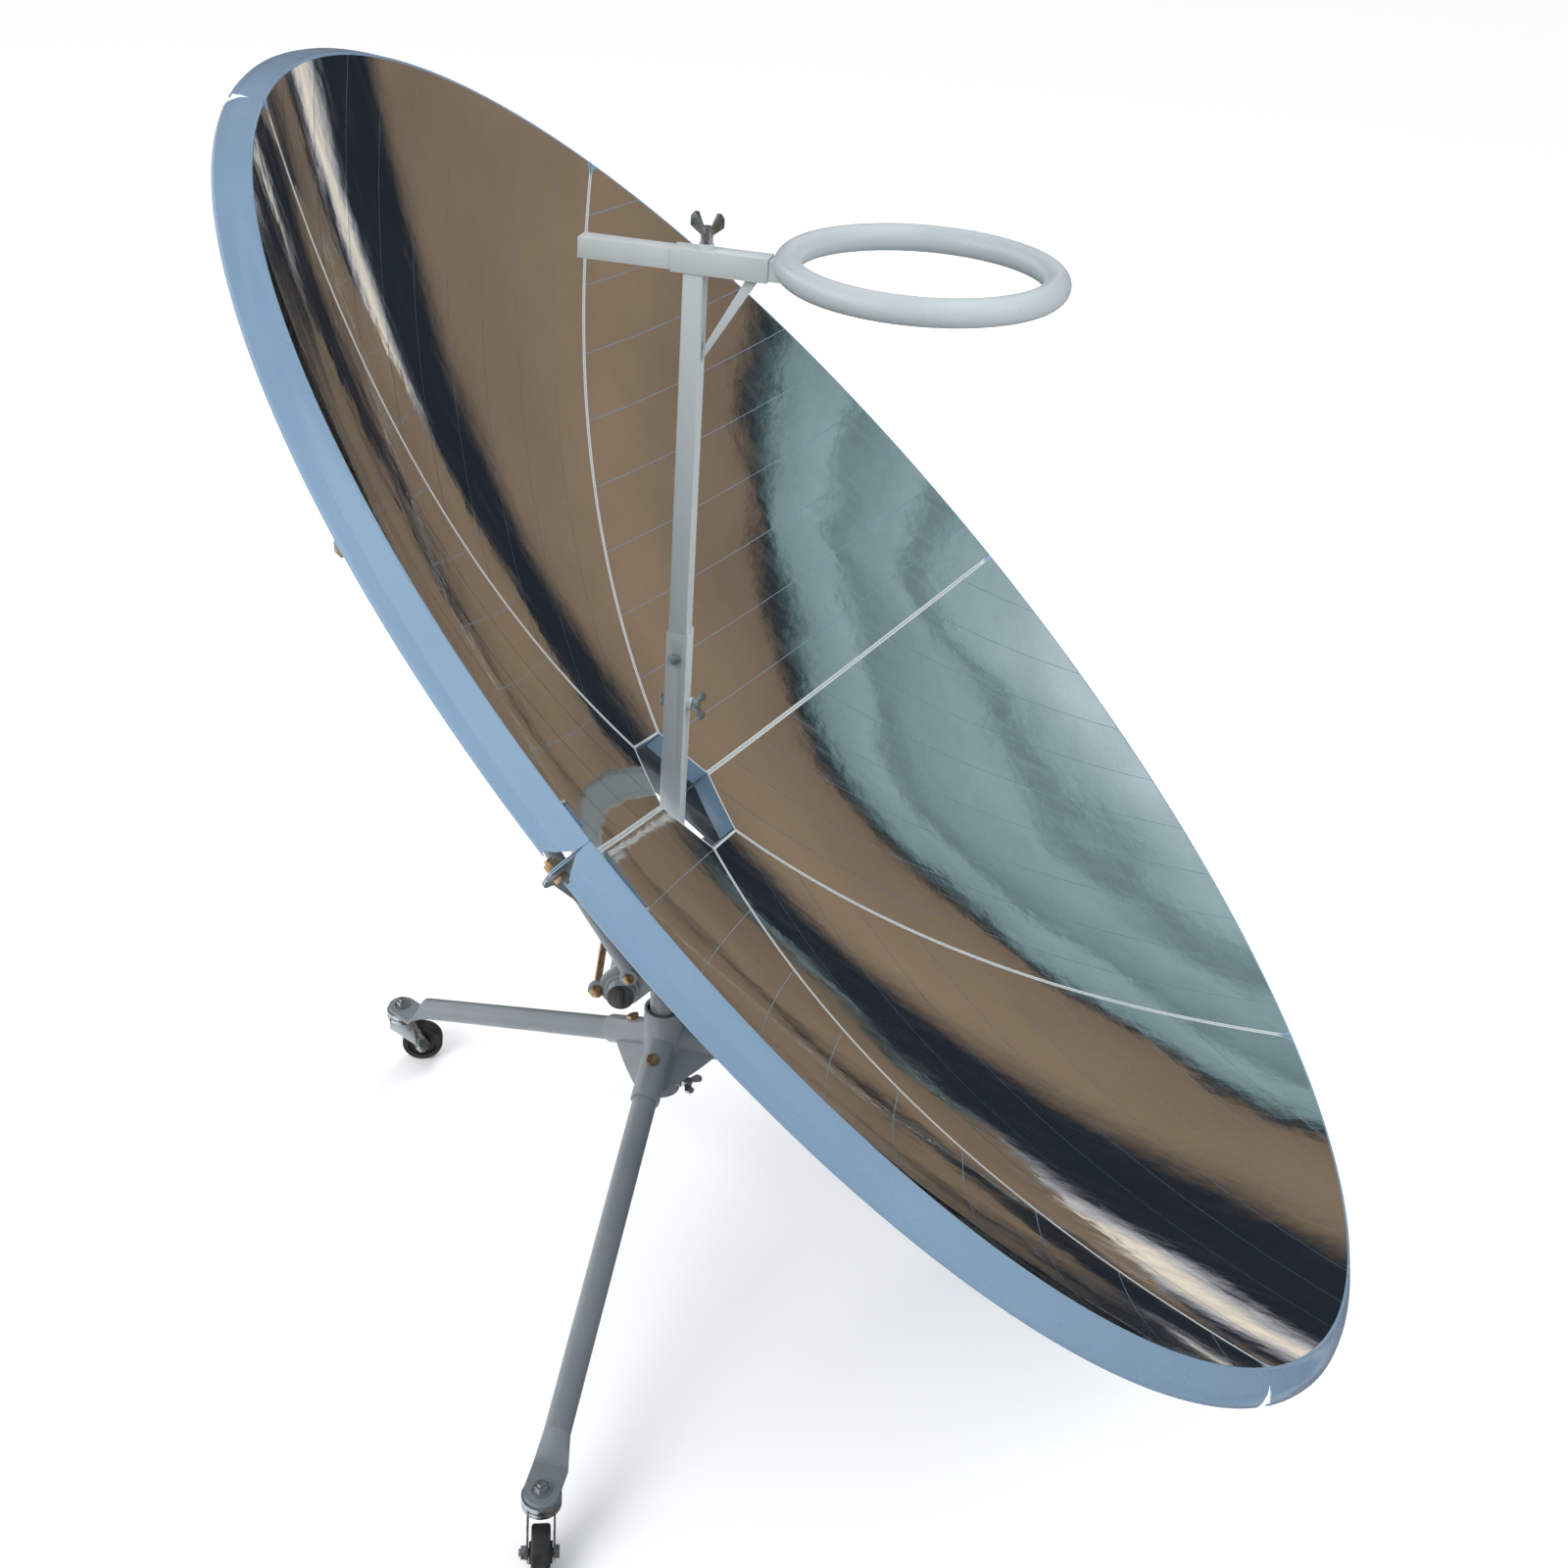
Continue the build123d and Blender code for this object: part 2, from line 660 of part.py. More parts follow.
plate_height = -carrier_drop - carrier_thick - pivot_local.Z
foot_bolts = [
    plate_point(across, plate_height, side * (plate_out + 0.57 * plate_foot))
    for side in (-1, 1)
    for across in (-plate_width / 4, plate_width / 4)
]

with BuildPart() as carrier_plate:
    with BuildSketch(turned_plane(pattern_turn, -carrier_drop)):
        RegularPolygon(radius=carrier_radius, side_count=petal_count)
    extrude(amount=-carrier_thick)
    with BuildSketch(turned_plane(0, -carrier_drop)):
        with Locations(((slot_back + slot_front) / 2, 0)):
            Rectangle(slot_front - slot_back, 2 * slot_half_width)
    extrude(amount=-carrier_thick, mode=Mode.SUBTRACT)
    for angle in joint_angles:
        lug_plane = turned_plane(angle, -carrier_drop)
        with BuildSketch(lug_plane):
            with Locations(((lug_inner + lug_outer) / 2, joint_half + lug_thick / 2)):
                Rectangle(lug_outer - lug_inner, lug_thick)
        extrude(amount=lug_height)
        with BuildSketch(joint_bolt_planes(angle)[0]):
            Circle(bolt_radius + bolt_clearance)
        extrude(amount=lug_height, mode=Mode.SUBTRACT)
    for place in foot_bolts:
        with BuildSketch(Plane(origin=place, x_dir=low_side, z_dir=axis)):
            Circle(bolt_radius + bolt_clearance)
        extrude(amount=2 * carrier_thick, mode=Mode.SUBTRACT)
keep("carrier_plate", carrier_plate)

for name, side in (("side_plate_near", -1), ("side_plate_far", 1)):
    with BuildPart() as side_plate:
        middle_plane = Plane(origin=plate_point(0, 0, side * plate_y), x_dir=low_side, z_dir=(0, -1, 0))
        with BuildSketch(middle_plane):
            Circle(plate_width / 2)
            with Locations((0, plate_height / 2)):
                Rectangle(plate_width, plate_height)
            with Locations(ear_offset):
                Circle(ear_radius)
            Circle(pivot_outer / 2 + bearing_play, mode=Mode.SUBTRACT)
            with Locations(ear_offset):
                Circle(big_bolt_radius + bolt_clearance, mode=Mode.SUBTRACT)
            with Locations(stay_root, strap_root):
                Circle(bolt_radius + bolt_clearance, mode=Mode.SUBTRACT)
        extrude(amount=plate_thick / 2, both=True)
        foot_middle = plate_point(0, plate_height, side * (plate_out + plate_foot / 2))
        with BuildSketch(Plane(origin=foot_middle, x_dir=low_side, z_dir=axis)):
            Rectangle(plate_width, plate_foot)
            for across in (-plate_width / 4, plate_width / 4):
                with Locations((across, side * 0.07 * plate_foot)):
                    Circle(bolt_radius + bolt_clearance, mode=Mode.SUBTRACT)
        extrude(amount=-plate_foot_thick)
    keep(name, side_plate)

with BuildPart() as carrier_bolts:
    for angle in joint_angles:
        plane = joint_bolt_planes(angle)[0]
        add(small_bolt(plane.offset(joint_half + lug_thick), 2 * joint_half + lug_thick))
    for place in foot_bolts:
        add(
            small_bolt(
                Plane(origin=place + axis * carrier_thick, x_dir=low_side, z_dir=axis),
                carrier_thick + plate_foot_thick,
            )
        )
keep("carrier_bolts", carrier_bolts)

with BuildPart() as tie_rod:
    place = plate_point(ear_offset[0], ear_offset[1], -plate_out)
    add(
        hex_bolt(
            Plane(origin=place, x_dir=(1, 0, 0), z_dir=(0, -1, 0)), big_bolt_radius, big_bolt_across, bolt_nut,
            2 * plate_out, bolt_nut, bolt_tail,
        )
    )
keep("tie_rod", tie_rod)

# ---------------------------------------------------------------- straps to the rim, stays to the petals' backs
strap_joints = ((joint_angles[4], 1, -1), (joint_angles[2], -1, 1))
stay_angles = ((joint_angles[4] - petal_angle / 2, -1), (joint_angles[2] + petal_angle / 2, 1))

for number, (angle, flank, side) in enumerate(strap_joints):
    flange = joint_bolt_planes(angle)[1]
    top = flange.origin + flange.z_dir * flank * (joint_half + strap_thick / 2)
    root = plate_point(strap_root[0], strap_root[1], side * (plate_out + strap_thick / 2))
    run = root - top
    sidewise = Vector(0, 1, 0)
    top_run = (run - flange.z_dir * run.dot(flange.z_dir)).normalized()
    root_run = (run - sidewise * run.dot(sidewise)).normalized()
    with BuildPart() as strap:
        tabs = ((top, top_run, flange.z_dir), (root, -root_run, sidewise))
        for place, along, normal in tabs:
            with BuildSketch(Plane(origin=place - along * strap_width / 2, x_dir=normal, z_dir=along)):
                Rectangle(strap_thick, strap_width)
            extrude(amount=strap_width / 2 + strap_tab)
        # the strap twists between its two flat ends
        with BuildSketch(Plane(origin=top + top_run * strap_tab, x_dir=flange.z_dir * flank, z_dir=top_run)):
            Rectangle(strap_thick, strap_width)
        with BuildSketch(Plane(origin=root - root_run * strap_tab, x_dir=-sidewise * side, z_dir=root_run)):
            Rectangle(strap_thick, strap_width)
        loft(ruled=True)
        for place, along, normal in tabs:
            with BuildSketch(Plane(origin=place, x_dir=along, z_dir=normal)):
                Circle(bolt_radius + bolt_clearance)
            extrude(amount=strap_thick, both=True, mode=Mode.SUBTRACT)
    keep(f"strap_{number + 1}", strap)

with BuildPart() as rim_bolts:
    flanks = {angle: flank for angle, flank, side in strap_joints}
    for angle in joint_angles:
        plane = joint_bolt_planes(angle)[1]
        flank = flanks.get(angle, 1)
        extra = strap_thick if angle in flanks else 0
        head_plane = Plane(
            origin=plane.origin + plane.z_dir * flank * (joint_half + extra), x_dir=axis, z_dir=plane.z_dir * flank
        )
        add(small_bolt(head_plane, 2 * joint_half + extra))
keep("rim_bolts", rim_bolts)

stay_feet = []
stay_tops = []
for number, (angle, side) in enumerate(stay_angles):
    foot = plate_point(stay_root[0], stay_root[1], side * (plate_out + eye_width / 2))
    top = dish_point(stay_reach, angle, bowl(stay_reach) - stay_stand_off)
    stay_feet.append((foot, side))
    stay_tops.append(top)
    along = (top - foot).normalized()
    length = (top - foot).length
    foot_eye = Plane(origin=foot, x_dir=(1, 0, 0), z_dir=(0, side, 0))
    top_eye = Plane(origin=top, x_dir=low_side, z_dir=axis)
    with BuildPart() as stay:
        with BuildSketch(Plane(origin=foot, z_dir=along)):
            Circle(stay_radius)
        extrude(amount=length)
        for eye in (foot_eye, top_eye):
            with BuildSketch(eye):
                Circle(eye_radius)
            extrude(amount=eye_width / 2, both=True)
        with BuildSketch(Plane(origin=foot + along * 2 * eye_radius, z_dir=along)):
            Circle(stay_radius - stay_wall)
        extrude(amount=length - 4 * eye_radius, mode=Mode.SUBTRACT)
        for eye in (foot_eye, top_eye):
            with BuildSketch(eye):
                Circle(bolt_radius + bolt_clearance)
            extrude(amount=eye_width, both=True, mode=Mode.SUBTRACT)
    keep(f"stay_{number + 1}", stay)

with BuildPart() as above_petals:
    with BuildSketch(dish_section):
        make_face(bowl_layer(stay_reach - 30, stay_reach + 30, 60, -sheet).edges())
    revolve(axis=dish_axis, revolution_arc=360)

with BuildPart() as stay_pads:
    for top in stay_tops:
        with BuildSketch(Plane(origin=top + axis * eye_width / 2, x_dir=low_side, z_dir=axis)):
            Circle(eye_radius)
            Circle(bolt_radius + bolt_clearance, mode=Mode.SUBTRACT)
        extrude(amount=stay_stand_off)
    add(above_petals.part, mode=Mode.SUBTRACT)
keep("stay_pads", stay_pads)

with BuildPart() as stay_bolts:
    for top in stay_tops:
        add(
            small_bolt(
                Plane(origin=top - axis * eye_width / 2, x_dir=low_side, z_dir=-axis),
                eye_width + 0.3 * stay_stand_off, nut=False,
            )
        )
    for foot, side in stay_feet:
        outer = Plane(origin=foot + Vector(0, side * eye_width / 2, 0), x_dir=(1, 0, 0), z_dir=(0, side, 0))
        add(small_bolt(outer, eye_width + plate_thick))
    for angle, flank, side in strap_joints:
        place = plate_point(strap_root[0], strap_root[1], side * (plate_out + strap_thick))
        add(small_bolt(Plane(origin=place, x_dir=(1, 0, 0), z_dir=(0, side, 0)), strap_thick + plate_thick))
keep("stay_bolts", stay_bolts)

# ---------------------------------------------------------------- pot stand
mast_bottom = block_top + foot_gap
sleeve_bottom = arm_z - outer_tube / 2
lower_length = mast_split - mast_bottom
upright = Vector(0, 0, 1)


def mast_plane(z):
    """A level plane across the mast, its X along the pot arm."""
    return Plane(origin=(0, 0, z), x_dir=arm_dir, z_dir=upright)


def arm_plane(reach, rise=0):
    """A plane across the pot arm at a reach from the mast, its Y upright."""
    return Plane(origin=arm_dir * reach + upright * (arm_z + rise), x_dir=-arm_side, z_dir=-arm_dir)


mast_screw_plane = Plane(origin=(0, 0, mast_screw_z), x_dir=upright, z_dir=arm_dir)
stop_screw_plane = Plane(origin=(0, 0, stop_screw_z), x_dir=upright, z_dir=-arm_side)
arm_screw_plane = Plane(origin=arm_dir * arm_screw_reach + upright * arm_z, x_dir=arm_dir, z_dir=upright)

with BuildPart() as mast_lower:
    with BuildSketch(mast_plane(mast_bottom)):
        Rectangle(outer_tube, outer_tube)
    extrude(amount=lower_length)
    fillet(mast_lower.edges().filter_by(Axis.Z), tube_wall)
    with BuildSketch(mast_screw_plane):
        Circle(boss_radius)
    extrude(amount=outer_tube / 2 + boss_height)
    with BuildSketch(mast_plane(mast_bottom + outer_tube)):
        Rectangle(outer_tube - 2 * tube_wall, outer_tube - 2 * tube_wall)
    extrude(amount=lower_length, mode=Mode.SUBTRACT)
    with BuildSketch(mast_plane(foot_bottom)):
        Circle(foot_radius)
    extrude(amount=foot_length + outer_tube / 2)
    with BuildSketch(mast_screw_plane):
        Circle(bolt_radius + wing_play)
    extrude(amount=outer_tube, mode=Mode.SUBTRACT)
    with BuildSketch(stop_screw_plane):
        Circle(bolt_radius)
    extrude(amount=outer_tube, mode=Mode.SUBTRACT)
keep("mast_lower", mast_lower)

with BuildPart() as mast_stop_screw:
    add(small_bolt(stop_screw_plane.offset(outer_tube / 2), tube_wall, nut=False))
keep("mast_stop_screw", mast_stop_screw)

with BuildPart() as mast_wing_screw:
    seat = outer_tube / 2 + boss_height + wing_gap
    add(wing_screw(mast_screw_plane.offset(seat), seat - inner_tube / 2 - slide_play, mast_wing_height))
keep("mast_wing_screw", mast_wing_screw)

with BuildPart() as mast_nut:
    with BuildSketch(Plane(origin=arm_dir * -outer_tube / 2 + upright * mast_screw_z, x_dir=upright, z_dir=-arm_dir)):
        RegularPolygon(radius=big_bolt_across / math.sqrt(3), side_count=6)
        Circle(bolt_radius, mode=Mode.SUBTRACT)
    extrude(amount=bolt_nut)
keep("mast_nut", mast_nut)

with BuildPart() as mast_upper:
    with BuildSketch(mast_plane(mast_upper_bottom)):
        Rectangle(inner_tube, inner_tube)
    extrude(amount=sleeve_bottom - mast_upper_bottom)
    fillet(mast_upper.edges().filter_by(Axis.Z), tube_wall)
    with BuildSketch(mast_plane(mast_upper_bottom)):
        Rectangle(inner_tube - 2 * tube_wall, inner_tube - 2 * tube_wall)
    extrude(amount=sleeve_bottom - mast_upper_bottom, mode=Mode.SUBTRACT)
keep("mast_upper", mast_upper)

with BuildPart() as arm_sleeve:
    with BuildSketch(arm_plane(sleeve_back)):
        Rectangle(outer_tube, outer_tube)
    extrude(amount=sleeve_back - sleeve_front)
    with BuildSketch(arm_screw_plane):
        Circle(boss_radius)
    extrude(amount=outer_tube / 2 + boss_height)
    with BuildSketch(arm_plane(sleeve_back)):
        Rectangle(outer_tube - 2 * tube_wall, outer_tube - 2 * tube_wall)
    extrude(amount=sleeve_back - sleeve_front, mode=Mode.SUBTRACT)
    with BuildSketch(arm_screw_plane):
        Circle(bolt_radius + wing_play)
    extrude(amount=outer_tube, mode=Mode.SUBTRACT)
keep("arm_sleeve", arm_sleeve)

with BuildPart() as arm_wing_screw:
    seat = outer_tube / 2 + boss_height + wing_gap
    add(wing_screw(arm_screw_plane.offset(seat), seat - inner_tube / 2 - slide_play, arm_wing_height))
keep("arm_wing_screw", arm_wing_screw)

with BuildPart() as arm_brace:
    with BuildSketch(Plane(origin=(0, 0, sleeve_bottom), x_dir=arm_dir, z_dir=-arm_side)):
        with BuildLine():
            Polyline(
                (inner_tube / 2, -9 * brace_size),
                (6 * brace_size, 0),
                (7.4 * brace_size, 0),
                (inner_tube / 2, -10.4 * brace_size),
                close=True,
            )
        make_face()
    extrude(amount=brace_size / 2, both=True)
keep("arm_brace", arm_brace)

ring_centre = arm_dir * ring_reach + upright * (arm_z + ring_rise)
ring_plane = Plane(origin=ring_centre, x_dir=arm_dir, z_dir=-arm_side)
with BuildPart() as ring_outline:
    with BuildSketch(ring_plane):
        with Locations((ring_radius, 0)):
            Circle(ring_tube)
    revolve(axis=Axis(ring_centre, upright), revolution_arc=360)

with BuildPart() as pot_ring:
    with BuildSketch(ring_plane):
        with Locations((ring_radius, 0)):
            Circle(ring_tube)
            Circle(ring_tube - tube_wall, mode=Mode.SUBTRACT)
    revolve(axis=Axis(ring_centre, upright), revolution_arc=360)
    # vent hole under the tube
    with BuildSketch(Plane(origin=ring_centre + arm_dir * ring_radius, x_dir=arm_dir, z_dir=-upright)):
        Circle(tube_wall)
    extrude(amount=2 * ring_tube, mode=Mode.SUBTRACT)
keep("pot_ring", pot_ring)

with BuildPart() as arm_inner:
    with BuildSketch(arm_plane(arm_back)):
        Rectangle(inner_tube, inner_tube)
        Rectangle(inner_tube - 2 * tube_wall, inner_tube - 2 * tube_wall, mode=Mode.SUBTRACT)
    extrude(amount=arm_back - ring_reach + ring_radius)
    add(ring_outline.part, mode=Mode.SUBTRACT)
keep("arm_inner", arm_inner)

# ---------------------------------------------------------------- origin and files
boxes = [piece.part.bounding_box() for piece in pieces.values()]
middle_x = (min(box.min.X for box in boxes) + max(box.max.X for box in boxes)) / 2
middle_y = (min(box.min.Y for box in boxes) + max(box.max.Y for box in boxes)) / 2
floor_z = min(box.min.Z for box in boxes)
os.makedirs("parts", exist_ok=True)
for name, piece in pieces.items():
    piece.part.locate(Location((-middle_x, -middle_y, -floor_z)))
    piece.part.label = name
    export_step(piece.part, f"parts/{name}.step")
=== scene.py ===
"""Looks of the parabolic solar cooker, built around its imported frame.

The petals and their mirror film are modelled afresh as smooth pressed sheet. The other pieces are finished
copies of the frame's own meshes with rounded edges. Everything is in metres, in the frame's coordinates.
"""

import json
import logging
import math
from dataclasses import dataclass, field
from enum import Enum
from typing import Iterable

import bmesh
import bpy
from mathutils import Matrix, Vector


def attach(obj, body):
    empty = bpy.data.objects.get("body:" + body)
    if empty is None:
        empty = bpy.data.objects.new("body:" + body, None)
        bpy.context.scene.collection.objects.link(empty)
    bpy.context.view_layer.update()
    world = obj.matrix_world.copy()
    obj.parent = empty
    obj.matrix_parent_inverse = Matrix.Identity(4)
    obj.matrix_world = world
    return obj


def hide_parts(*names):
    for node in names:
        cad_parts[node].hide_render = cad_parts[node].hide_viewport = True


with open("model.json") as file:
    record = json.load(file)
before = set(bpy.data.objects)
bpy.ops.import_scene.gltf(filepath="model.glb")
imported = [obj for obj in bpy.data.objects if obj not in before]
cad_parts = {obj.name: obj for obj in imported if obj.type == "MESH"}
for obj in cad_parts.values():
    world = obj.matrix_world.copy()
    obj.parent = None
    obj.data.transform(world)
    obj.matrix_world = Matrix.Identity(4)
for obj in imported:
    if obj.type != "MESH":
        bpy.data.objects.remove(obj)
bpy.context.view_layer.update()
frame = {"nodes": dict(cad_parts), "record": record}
LOG = logging.getLogger("solar_cooker")
MAST_X = -0.166894  # the mast's line in the frame
Rgba = tuple[float, float, float, float]


class Colour(Enum):
    """Base colours, linear RGB."""

    ENAMEL = (0.150, 0.236, 0.335, 1.0)
    ENAMEL_DEEP = (0.128, 0.205, 0.300, 1.0)
    STAND = (0.115, 0.135, 0.150, 1.0)
    STAND_WORN = (0.165, 0.185, 0.200, 1.0)
    SILVER = (0.420, 0.470, 0.490, 1.0)
    SILVER_WORN = (0.480, 0.525, 0.540, 1.0)
    RING = (0.400, 0.450, 0.480, 1.0)
    RING_WORN = (0.340, 0.390, 0.420, 1.0)
    FILM = (0.860, 0.850, 0.830, 1.0)
    FILM_DULL = (0.780, 0.775, 0.760, 1.0)
    ZINC = (0.620, 0.640, 0.660, 1.0)
    YELLOW_ZINC = (0.420, 0.230, 0.110, 1.0)
    YELLOW_ZINC_PALE = (0.620, 0.430, 0.240, 1.0)
    RUBBER = (0.016, 0.016, 0.018, 1.0)
    RUBBER_DUST = (0.050, 0.048, 0.045, 1.0)
    PLASTIC = (0.020, 0.021, 0.023, 1.0)
    FLOOR = (0.930, 0.932, 0.935, 1.0)


# painted reflections: these colours show only to glossy rays, as surroundings that are not there
class ReflectionPaint(Enum):
    """Painted reflection colours: earth, shadow, sky and glare seen only in the mirrors and other glossy
    reflections, linear RGB.
    """

    EARTH = (0.200, 0.152, 0.112, 1.0)
    EARTH_DARK = (0.120, 0.098, 0.078, 1.0)
    EARTH_LIT = (0.275, 0.205, 0.142, 1.0)
    SHADOW = (0.018, 0.024, 0.034, 1.0)
    TREE = (0.060, 0.100, 0.105, 1.0)
    TREE_PALE = (0.150, 0.230, 0.240, 1.0)
    SKY = (0.190, 0.290, 0.310, 1.0)
    SKY_PALE = (0.280, 0.410, 0.440, 1.0)
    SKY_HIGH = (0.520, 0.660, 0.720, 1.0)
    SUNLIT = (1.050, 1.090, 1.130, 1.0)
    GLARE = (0.950, 0.860, 0.700, 1.0)
    GLARE_DULL = (0.420, 0.440, 0.480, 1.0)


# ------------------------------------------------------------------ finishes
class NodeBoard:
    """A material's node tree with short ways to add what the finishes need."""

    def __init__(self, name: str) -> None:
        """Start an empty material with an output.

        Args:
            name: The material's name.
        """
        self.material = bpy.data.materials.new(name)
        self.material.use_nodes = True
        self.tree = self.material.node_tree
        self.tree.nodes.clear()
        self.output = self.add("ShaderNodeOutputMaterial")
        self.place = self.add("ShaderNodeTexCoord")

    def add(self, kind: str, **values: object) -> bpy.types.Node:
        """Add a node.

        Args:
            kind: The node's type name.
            values: Attributes to set, or inputs by name with spaces as underscores.

        Returns:
            The new node.
        """
        node = self.tree.nodes.new(kind)
        for key, value in values.items():
            socket = node.inputs.get(key.replace("_", " "))
            if socket is not None:
                socket.default_value = value
            else:
                setattr(node, key, value)
        return node

    def link(self, source: bpy.types.NodeSocket, target: bpy.types.NodeSocket) -> None:
        """Join two sockets."""
        self.tree.links.new(source, target)

    def noise(self, scale: float, detail: float = 3.0, stretch: tuple[float, float, float] = (1.0, 1.0, 1.0),
              turn: tuple[float, float, float] = (0.0, 0.0, 0.0)) -> bpy.types.NodeSocket:
        """A noise pattern on object coordinates.

        Args:
            scale: Noise scale per metre.
            detail: Octaves of detail.
            stretch: Scale of each coordinate.
            turn: Turn of the coordinates in radians.

        Returns:
            The noise factor socket.
        """
        mapping = self.add("ShaderNodeMapping")
        mapping.inputs["Scale"].default_value = stretch
        mapping.inputs["Rotation"].default_value = turn
        self.link(self.place.outputs["Object"], mapping.inputs["Vector"])
        noise = self.add("ShaderNodeTexNoise", Scale=scale, Detail=detail)
        self.link(mapping.outputs["Vector"], noise.inputs["Vector"])
        return noise.outputs["Fac"]

    def ramp(self, factor: bpy.types.NodeSocket, stops: Iterable[tuple[float, Rgba]]) -> bpy.types.NodeSocket:
        """A colour ramp on a factor.

        Args:
            factor: The socket that drives it.
            stops: Positions and colours in rising order.

        Returns:
            The ramp's colour socket.
        """
        node = self.add("ShaderNodeValToRGB")
        elements = node.color_ramp.elements
        for index, (position, colour) in enumerate(stops):
            element = elements[index] if index < 2 else elements.new(position)
            element.position = position
            element.color = colour
        self.link(factor, node.inputs["Fac"])
        return node.outputs["Color"]

    def level(self, factor: bpy.types.NodeSocket, low: float, high: float) -> bpy.types.NodeSocket:
        """Spread a factor over a range.

        Args:
            factor: The socket to spread.
            low: Value where the factor is 0.3.
            high: Value where the factor is 0.7.

        Returns:
            The spread value's socket.
        """
        node = self.add("ShaderNodeMapRange")
        node.inputs["From Min"].default_value = 0.3
        node.inputs["From Max"].default_value = 0.7
        node.inputs["To Min"].default_value = low
        node.inputs["To Max"].default_value = high
        self.link(factor, node.inputs["Value"])
        return node.outputs["Result"]

    def bump(self, height: bpy.types.NodeSocket, distance: float, under: bpy.types.NodeSocket | None = None
             ) -> bpy.types.NodeSocket:
        """A bump from a height.

        Args:
            height: The height socket.
            distance: Height in metres at a factor of one.
            under: A normal to add it to.

        Returns:
            The normal socket.
        """
        node = self.add("ShaderNodeBump", Strength=1.0, Distance=distance)
        self.link(height, node.inputs["Height"])
        if under is not None:
            self.link(under, node.inputs["Normal"])
        return node.outputs["Normal"]

    def surface(self, **values: object) -> bpy.types.Node:
        """A Principled shader joined to the output.

        Args:
            values: Its inputs by name, with spaces as underscores.

        Returns:
            The shader node.
        """
        shader = self.add("ShaderNodeBsdfPrincipled", **values)
        self.link(shader.outputs["BSDF"], self.output.inputs["Surface"])
        return shader


@dataclass(frozen=True)
class PowderCoat:
    """Sprayed and baked paint: a faint orange peel, slow shade changes and a clear gloss."""

    name: str
    shade: Colour
    second: Colour
    roughness: float = 0.32
    peel: float = 0.00006
    coat: float = 0.25
    metallic: float = 0.0

    def make(self) -> bpy.types.Material:
        """Build the material."""
        board = NodeBoard(self.name)
        shader = board.surface(Metallic=self.metallic, Coat_Weight=self.coat, Coat_Roughness=0.12)
        broad = board.noise(4.0, 4.0)
        board.link(board.ramp(broad, ((0.3, self.second.value), (0.7, self.shade.value))),
                   shader.inputs["Base Color"])
        board.link(board.level(board.noise(30.0), self.roughness * 0.8, self.roughness * 1.25),
                   shader.inputs["Roughness"])
        peel = board.bump(board.noise(900.0, 1.0), self.peel)
        board.link(board.bump(broad, 0.0004, peel), shader.inputs["Normal"])
        return board.material


@dataclass(frozen=True)
class MirrorFilm:
    """Metallised film: clear, faintly rippled, with rub marks along its strips."""

    name: str = "mirror_film"
    sag: float = 0.0048
    wave: float = 0.0004
    ripple: float = 0.00006

    def make(self) -> bpy.types.Material:
        """Build the material."""
        board = NodeBoard(self.name)
        shader = board.surface(Metallic=1.0)
        haze = board.ramp(board.noise(7.0, 5.0), ((0.35, Colour.FILM_DULL.value), (0.6, Colour.FILM.value)))
        board.link(haze, shader.inputs["Base Color"])
        rub = board.noise(14.0, 6.0, (1.0, 6.0, 1.0), (0.0, 0.76, 0.4))
        board.link(board.level(rub, 0.015, 0.10), shader.inputs["Roughness"])
        slow = board.bump(board.noise(3.2, 1.0), self.sag)
        mid = board.bump(board.noise(13.0, 2.0), self.wave, slow)
        fine = board.bump(board.noise(85.0, 2.0), self.ripple, mid)
        board.link(fine, shader.inputs["Normal"])
        return board.material


@dataclass(frozen=True)
class PlatedSteel:
    """Zinc or chromate plate: metallic, mottled, slightly pitted."""

    name: str
    shade: Colour
    second: Colour
    roughness: float = 0.28

    def make(self) -> bpy.types.Material:
        """Build the material."""
        board = NodeBoard(self.name)
        shader = board.surface(Metallic=1.0)
        mottle = board.noise(160.0, 4.0)
        board.link(board.ramp(mottle, ((0.35, self.second.value), (0.65, self.shade.value))),
                   shader.inputs["Base Color"])
        wear = board.level(mottle, self.roughness * 0.7, self.roughness * 1.5)
        board.link(wear, shader.inputs["Roughness"])
        board.link(board.bump(board.noise(700.0), 0.00005), shader.inputs["Normal"])
        return board.material


@dataclass(frozen=True)
class Moulded:
    """Rubber or plastic with a fine moulded grain and a little dust."""

    name: str
    shade: Colour
    second: Colour
    roughness: float = 0.55

    def make(self) -> bpy.types.Material:
        """Build the material."""
        board = NodeBoard(self.name)
        shader = board.surface()
        board.link(board.ramp(board.noise(60.0, 5.0), ((0.4, self.shade.value), (0.8, self.second.value))),
                   shader.inputs["Base Color"])
        board.link(board.level(board.noise(45.0), self.roughness * 0.8, self.roughness * 1.2),
                   shader.inputs["Roughness"])
        board.link(board.bump(board.noise(1200.0), 0.00006), shader.inputs["Normal"])
        return board.material


